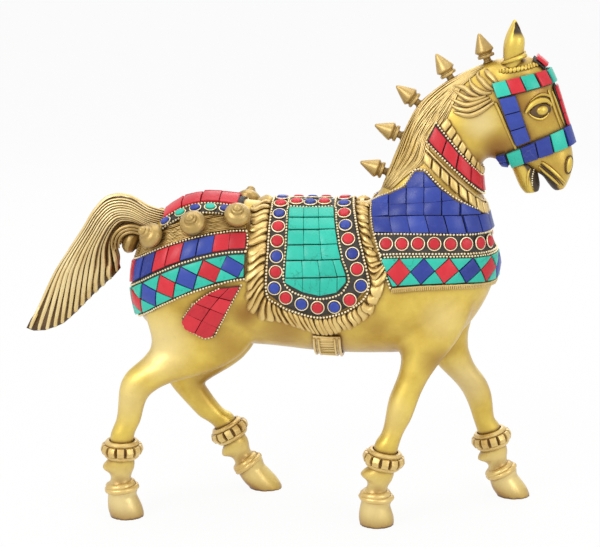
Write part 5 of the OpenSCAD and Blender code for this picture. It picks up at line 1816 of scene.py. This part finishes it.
@dataclass
class Mane:
    """Fine engraved hair down the neck and bold locks behind the cheek."""

    across: int = 24
    seed: int = 21
    height: float = 0.12
    # Spans of a hair's radius, and in stations of its first start, its length and its overlap.
    radii: Pair = (0.42, 0.62)
    starts: Pair = (0.0, 0.6)
    lengths: Pair = (1.8, 3.6)
    overlaps: Pair = (0.3, 0.8)
    hair_steps: int = 10
    # Stations that a new hair needs before the end, then where hairs stand in their row.
    shortest: float = 0.8
    jitter: Pair = (0.2, 0.8)
    # A hair keeps inside the mane, and is laid if more than this many of its points are found.
    inside: Pair = (0.03, 0.99)
    fewest: int = 4
    # Waves of a hair: swing as a share of the mane's width, and radians along it.
    swing: float = 0.02
    wave_angle: float = 5.0
    lock_height: float = 0.35
    lock_radius: float = 1.35
    crest: Line = (
        (90, 226), (82.1, 223), (70.8, 217.2), (61.5, 210.3), (55.8, 203), (52.1, 196),
        (47.3, 183.6), (43.6, 173.6), (40.6, 166.4))
    lower: Line = (
        (84, 220.5), (78.8, 216.5), (75.6, 210), (72, 202), (68.4, 196), (64.4, 189.5),
        (62, 181), (55, 175), (45.5, 166.2))
    locks: tuple[Line, ...] = (
        ((94.3, 209.7), (88.1, 205.3), (82.9, 203.1), (77.6, 203.7), (74.8, 204.5)),
        ((92.7, 210.8), (86.6, 207.2), (81.4, 205.4), (76.2, 206.4), (73.2, 208.1)),
        ((91.7, 211.7), (85.6, 209.0), (80.9, 207.9), (76.1, 209.4), (72.5, 211.1)),
        ((90.3, 212.4), (85.6, 210.6), (81.8, 210.7), (77.4, 212.9), (73.8, 215.2)),
        ((87.4, 211.8), (83.6, 213.1), (80.3, 215.3), (76.4, 216.2), (74.3, 215.9)),
        ((92.6, 213.8), (88.8, 213.7), (85.5, 215.2), (83.1, 217.6), (82.5, 220.0)),
        ((94.0, 215.2), (91.1, 216.5), (88.3, 219.2), (86.3, 221.3), (86.8, 223.3)),
        ((95.8, 217.6), (93.9, 219.8), (91.5, 222.0), (90.1, 223.7), (91.0, 224.6)))

    def hair_point(self, skin: Skin, side: Side, t: float, f: float) -> Spot | None:
        """Return the place a share f from crest to lower edge at station t."""
        a, b = spline(self.crest, t), spline(self.lower, t)
        return skin.seen(mix(a[0], b[0], f), mix(a[1], b[1], f), side)

    def build(self, skin: Skin) -> None:
        """Lay the hair and the locks.

        Args:
            skin: Trunk and head.
        """
        rng = random.Random(self.seed)
        hair, locks = Strands(6), Strands(8)
        last = len(self.crest) - 1
        for side in Side:
            for i in range(self.across):
                start = rng.uniform(*self.starts)
                while start < last - self.shortest:
                    end = min(last, start + rng.uniform(*self.lengths))
                    self.hair(hair, skin, side, (i + rng.uniform(*self.jitter)) / self.across,
                              start, end, rng)
                    start = end - rng.uniform(*self.overlaps)
            for line in self.locks:
                locks.laid(skin.drawn(line, side, 6), self.lock_height, self.lock_radius,
                           0.35, 0.08, 0.4)
        add_piece("neck_hair", hair.mesh(), HAIR, Slot.SATIN)
        add_piece("cheek_locks", locks.mesh(), HAIR, Slot.SATIN)

    def hair(self, bundle: Strands, skin: Skin, side: Side, share: float, start: float,
             end: float, rng: random.Random) -> None:
        """Lay one engraved hair.

        Args:
            bundle: Strands that receive it.
            skin: The neck.
            side: Side of the neck.
            share: Place between crest and lower edge.
            start: Station where it starts.
            end: Station where it ends.
            rng: Source of its waves.
        """
        phase = rng.uniform(*PHASES)
        spots = []
        for k in range(self.hair_steps + 1):
            u = k / self.hair_steps
            f = share + self.swing * math.sin(phase + self.wave_angle * u)
            f = min(self.inside[1], max(self.inside[0], f))
            spot = self.hair_point(skin, side, mix(start, end, u), f)
            if spot:
                spots.append(spot)
        if len(spots) > self.fewest:
            bundle.laid(Trail(spots), self.height, rng.uniform(*self.radii), 0.2, 0.1, 0.4)


@dataclass
class HeadDetail:
    """Eyes, lids, face folds, nostrils, lips and poll beads."""

    # Half-sizes of eyeball, socket, nostril and poll bead, along, across and outwards.
    eye: Pair = (117.0, 205.8)
    eye_half: Triple = (3.2, 2.7, 2.3)
    eye_sink: float = 0.45
    eye_along: Triple = (1.0, 0.0, 0.15)
    # The socket is a dark disc of painted shade round the eyeball.
    socket: Pair = (116.5, 205.6)
    socket_half: Triple = (5.3, 3.6, 0.8)
    socket_sink: float = 0.25
    socket_along: Triple = (1.0, 0.0, 0.14)
    nostril: Pair = (131.0, 178.9)
    nostril_half: Triple = (4.2, 2.5, 1.5)
    nostril_sink: float = 0.3
    nostril_along: Triple = (0.1, 0.0, 1.0)
    poll_half: Triple = (1.5, 1.0, 0.6)
    poll_pitch: float = 1.9
    poll_along: Triple = (0.25, 0.0, 1.0)
    # Ring of painted shade round a nostril: half-sizes, steps, height and radius.
    ring_half: Pair = (4.5, 2.8)
    ring_steps: int = 20
    ring_height: float = 0.1
    ring_radius: float = 0.22
    lid: Line = ((109.0, 204.7), (110.7, 207.2), (112.8, 209.3), (115.7, 210.4),
                 (118.7, 210.0), (120.8, 207.6))
    fold: Line = ((111.2, 210.0), (114.2, 212.2), (117.0, 213.1), (119.8, 212.2), (121.2, 210.4))
    low_lid: Line = ((110.4, 204.6), (112.8, 202.6), (116.4, 201.6), (119.2, 203.1),
                     (120.6, 206.0))
    ridges: tuple[Line, ...] = (
        ((121.5, 214.5), (123.8, 208.7), (126.4, 201.8), (128.7, 196.3)),
        ((119.6, 215.1), (121.7, 208.9), (124.4, 202.1), (126.5, 196.5)))
    # Dark line of painted shade along the mouth.
    mouth: Line = ((117.2, 179.3), (119.4, 177.2), (122.0, 175.1), (125.8, 171.7),
                   (128.6, 168.6))
    lips: tuple[Line, ...] = (
        ((116.4, 178.2), (119.0, 175.9), (121.8, 173.6), (124.6, 171.0), (126.8, 168.8)),
        ((117.6, 180.6), (120.2, 178.7), (123.0, 176.5), (126.8, 173.0), (129.6, 169.9)))
    strip: Line = ((94.8, 209.2), (97.1, 204.5), (100.6, 196.8), (103.4, 190.8), (105.2, 187.0))
    poll: Line = ((96.8, 223.6), (101.0, 224.4), (105.5, 225.2), (110.0, 226.2), (114.0, 227.0))
    # Height and radius of each raised line, then its taper.
    lid_size: tuple[float, ...] = (1.1, 1.5, 0.3, 0.3, 0.5)
    fold_size: tuple[float, ...] = (0.35, 0.85, 0.3, 0.3, 0.5)
    low_lid_size: tuple[float, ...] = (0.35, 0.6, 0.3, 0.3, 0.5)
    ridge_size: tuple[float, ...] = (0.1, 0.75, 0.4, 0.4)
    strip_size: tuple[float, ...] = (0.2, 0.8, 0.9, 0.9)
    lip_size: tuple[float, ...] = (0.15, 0.85, 0.4, 0.3)
    mouth_size: tuple[float, ...] = (0.05, 0.5, 0.5, 0.3)

    def disc(self, bm: bmesh.types.BMesh, spot: Spot, sizes: Triple, sink: float,
             along: Triple) -> None:
        """Add a flattened ball to the skin.

        Args:
            bm: Mesh that receives it.
            spot: Place on the skin.
            sizes: Half-sizes along, across and outwards, in millimetres.
            sink: Depth of its middle below the skin, in millimetres.
            along: Direction of its first size.
        """
        x = spot.flat(Vector(along))
        turn = Matrix((x, spot.normal.cross(x), spot.normal)).transposed().to_4x4()
        scale = Matrix.Diagonal((*(s * MM for s in sizes), 1.0))
        where = Matrix.Translation(spot.raised(-sink)) @ turn @ scale
        bmesh.ops.create_uvsphere(bm, u_segments=20, v_segments=12, radius=1.0, matrix=where)

    def over(self, skin: Skin, mounds: Skin, side: Side) -> Trail:
        """Lay the poll's line over the ear mounds and the head beside them.

        Args:
            skin: Head and neck.
            mounds: Swellings below the ears.
            side: Side of the head.

        Returns:
            The row of places.
        """
        spots = []
        for x, z in sampled(self.poll):
            found = [s for s in (skin.seen(x, z, side), mounds.seen(x, z, side)) if s]
            if found:
                spots.append(max(found, key=lambda s: abs(s.point.y)))
        return Trail(spots)

    def nostril_ring(self, nose: Spot) -> list[Vector]:
        """Draw the oval round a nostril.

        Args:
            nose: Middle of the nostril.

        Returns:
            Points of the ring.
        """
        up = nose.flat(Vector(self.nostril_along))
        across = nose.normal.cross(up)
        tall, wide = self.ring_half
        return [nose.raised(self.ring_height)
                + (up * (tall * math.cos(turn)) + across * (wide * math.sin(turn))) * MM
                for turn in turns(self.ring_steps)]

    def build(self, skin: Skin, mounds: Skin) -> None:
        """Model both sides of the face.

        Args:
            skin: Head and neck.
            mounds: Swellings below the ears.
        """
        folds, dark, balls, sockets = Strands(8), Strands(6), bmesh.new(), bmesh.new()
        raised = ((self.lid, self.lid_size), (self.fold, self.fold_size),
                  (self.low_lid, self.low_lid_size),
                  *((line, self.ridge_size) for line in self.ridges),
                  (self.strip, self.strip_size),
                  *((line, self.lip_size) for line in self.lips))
        for side in Side:
            eye, nose = skin.seen(*self.eye, side), skin.seen(*self.nostril, side)
            socket = skin.seen(*self.socket, side)
            self.disc(balls, eye, self.eye_half, self.eye_sink, self.eye_along)
            self.disc(sockets, socket, self.socket_half, self.socket_sink, self.socket_along)
            self.disc(balls, nose, self.nostril_half, self.nostril_sink, self.nostril_along)
            for line, size in raised:
                folds.laid(skin.drawn(line, side), *size)
            dark.laid(skin.drawn(self.mouth, side), *self.mouth_size)
            ring = self.nostril_ring(nose)
            dark.add(ring, [self.ring_radius] * len(ring))
            for spot in self.over(skin, mounds, side).even(self.poll_pitch):
                self.disc(balls, spot, self.poll_half, 0.0, self.poll_along)
        add_piece("face_folds", folds.mesh(), SATIN, Slot.SATIN)
        add_piece("face_bosses", balls, SATIN, Slot.SATIN)
        # Sockets, mouth line and nostril rings are near black painted shade.
        add_piece("eye_socket_shade", sockets, SHADE_BRASS, Slot.LAC)
        add_piece("mouth_shade_lines", dark.mesh(), SHADE_BRASS, Slot.LAC)


@dataclass
class GirthRails:
    """Raised rails and rungs on the girth strap."""

    x: float = 15.6
    rails: tuple[float, ...] = (-6.2, -4.0, 4.0, 6.2)
    rail_radius: float = 0.7
    rail_height: float = 1.6
    rail_steps: int = 14
    rung_half: float = 3.6
    rung_radius: float = 0.42
    rung_height: float = 1.5
    rung_pitch: float = 2.3
    rung_steps: int = 3
    # Distance from the spine where the strap leaves the frill, and the gap at both ends.
    start: float = 78.4
    end_gap: float = 1.0

    def build(self, skin: Skin) -> None:
        """Lay the rails and rungs down both sides to the belly.

        Args:
            skin: The barrel.
        """
        bundle = Strands(6)
        limit = skin.section(self.x)[-1][0]
        for side in Side:
            for dx in self.rails:
                rail = [skin.girth(self.x + dx, mix(self.start, limit, i / self.rail_steps), side)
                        for i in range(self.rail_steps + 1)]
                bundle.laid(Trail(rail), self.rail_height, self.rail_radius, 1.0, 1.0)
            down = self.start + self.end_gap
            while down < limit - self.end_gap:
                steps = [mix(-self.rung_half, self.rung_half, i / self.rung_steps)
                         for i in range(self.rung_steps + 1)]
                rung = [skin.girth(self.x + dx, down, side) for dx in steps]
                bundle.laid(Trail(rung), self.rung_height, self.rung_radius, 1.0, 1.0)
                down += self.rung_pitch
        add_piece("girth_rails", bundle.mesh(), FOLDS, Slot.PALE)


@dataclass
class Studio:
    """White floor, soft lamps and the camera."""

    # In the frame's millimetres.
    target: Triple = (2.6, 0.0, 121.3)
    camera: Triple = (82.3, -827.6, 298.0)
    lens: float = 102.0
    sensor: float = 36.0
    # Light of the white surroundings on the horse, against 1 where they are seen.
    fill: float = 0.55
    # The floor: tones of its paper and their scale, share of white where it is seen, and its
    # half-size and depth in metres.
    paper: tuple[Colour, Colour] = ((0.86, 0.86, 0.86), (0.9, 0.9, 0.9))
    paper_scale: float = 30.0
    floor_white: float = 0.93
    floor_half: float = 6.0
    floor_drop: float = 0.0002
    # Place in metres, size in metres and watts of each lamp.
    lamps: tuple[tuple[Triple, float, float], ...] = (
        ((-0.75, -0.95, 0.85), 0.6, 7.5), ((0.85, -0.75, 0.55), 0.6, 3.2),
        ((0.0, 0.15, 1.25), 0.9, 5.0), ((0.1, 1.0, 0.6), 0.7, 2.0))

    def build(self) -> None:
        """Set up the stage."""
        bpy.context.scene.view_settings.view_transform = "Standard"
        self.add_camera()
        for i, (place, size, watts) in enumerate(self.lamps):
            self.add_lamp(i, Vector(place), size, watts)
        self.add_world()
        self.add_floor()

    def aimed(self, name: str, data: bpy.types.ID, place: Vector) -> bpy.types.Object:
        """Place a lamp or camera so that it looks at the horse.

        Args:
            name: Its name.
            data: The lamp or camera.
            place: Its place, in metres.

        Returns:
            The placed object.
        """
        thing = bpy.data.objects.new(name, data)
        thing.location = place
        way = Vector(self.target) * MM - place
        thing.rotation_euler = way.to_track_quat("-Z", "Y").to_euler()
        bpy.context.scene.collection.objects.link(thing)
        return thing

    def add_camera(self) -> None:
        """Add the camera at the photograph's angle."""
        data = bpy.data.cameras.new("camera")
        data.lens = self.lens
        data.sensor_width = self.sensor
        data.sensor_fit = "HORIZONTAL"
        bpy.context.scene.camera = self.aimed("camera", data, Vector(self.camera) * MM)

    def add_lamp(self, number: int, place: Vector, size: float, watts: float) -> None:
        """Add one soft square lamp.

        Args:
            number: Number in its name.
            place: Its place, in metres.
            size: Its side, in metres.
            watts: Its power.
        """
        data = bpy.data.lights.new(f"lamp_{number}", "AREA")
        data.shape = "SQUARE"
        data.size = size
        data.energy = watts
        self.aimed(f"lamp_{number}", data, place)

    @staticmethod
    def background_share(tree: bpy.types.NodeTree) -> bpy.types.NodeSocket:
        """Tell rays that show the background as it is from rays that only light.

        Args:
            tree: Node tree that receives the test.

        Returns:
            1 for a ray that shows the background, else 0.
        """
        path = tree.nodes.new("ShaderNodeLightPath")
        total = path.outputs["Is Camera Ray"]
        for name in ("Is Glossy Ray", "Is Transmission Ray"):
            step = tree.nodes.new("ShaderNodeMath")
            step.operation = "MAXIMUM"
            tree.links.new(total, step.inputs[0])
            tree.links.new(path.outputs[name], step.inputs[1])
            total = step.outputs[0]
        return total

    def add_world(self) -> None:
        """Make the white surroundings, weaker as a light."""
        world = bpy.data.worlds.new("studio")
        bpy.context.scene.world = world
        world.use_nodes = True
        tree = world.node_tree
        shade = tree.nodes["Background"]
        shade.inputs["Color"].default_value = (1.0, 1.0, 1.0, 1.0)
        level = tree.nodes.new("ShaderNodeMapRange")
        level.inputs["To Min"].default_value = self.fill
        level.inputs["To Max"].default_value = 1.0
        tree.links.new(self.background_share(tree), level.inputs["Value"])
        tree.links.new(level.outputs["Result"], shade.inputs["Strength"])

    def add_floor(self) -> None:
        """Add the white floor, which keeps a soft shadow."""
        bm = bmesh.new()
        bmesh.ops.create_grid(bm, x_segments=8, y_segments=8, size=self.floor_half,
                              matrix=Matrix.Translation((0, 0, -self.floor_drop)))
        mesh = bpy.data.meshes.new("floor")
        bm.to_mesh(mesh)
        bm.free()
        sheet = NodeSheet("white_floor")
        tone = sheet.blend(sheet.noise(self.paper_scale), *self.paper)
        paper = sheet.add("BsdfDiffuse", {"Color": tone})
        glow = sheet.add("Emission", {"Color": (1.0, 1.0, 1.0, 1.0), "Strength": 1.0})
        share = sheet.joined(self.background_share(sheet.tree), self.floor_white, "MULTIPLY")
        mesh.materials.append(sheet.close(sheet.add("MixShader", {
            0: share, 1: paper.outputs[0], 2: glow.outputs[0]})))
        floor = bpy.data.objects.new("floor", mesh)
        bpy.context.scene.collection.objects.link(floor)


def main() -> None:
    """Build the horse piece by piece."""
    logging.basicConfig(level=logging.INFO, format="%(message)s")
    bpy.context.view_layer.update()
    Studio().build()
    casting, ears = Casting(), Ears()
    barrel = Skin(casting.body_mesh())
    flank = merged_copy("trunk", "right_hind_leg", "left_hind_leg", "thigh_bed")
    strap = merged_copy("trunk", "crupper_strap")
    casting.dress(casting.build(ears))
    Jaw().build()
    Coronets().build()
    ears.build()
    Mosaic().build(barrel)
    Fittings().build()
    BeadWires().build(barrel, Skin(flank))
    Frill().build(barrel)
    GirthRails().build(barrel)
    Tail().build()
    CrupperFur().build(Skin(strap))
    BreastReeds().build(barrel)
    Mane().build(barrel)
    HeadDetail().build(barrel, ears.mound_skin())


if __name__ == "__main__":
    main()
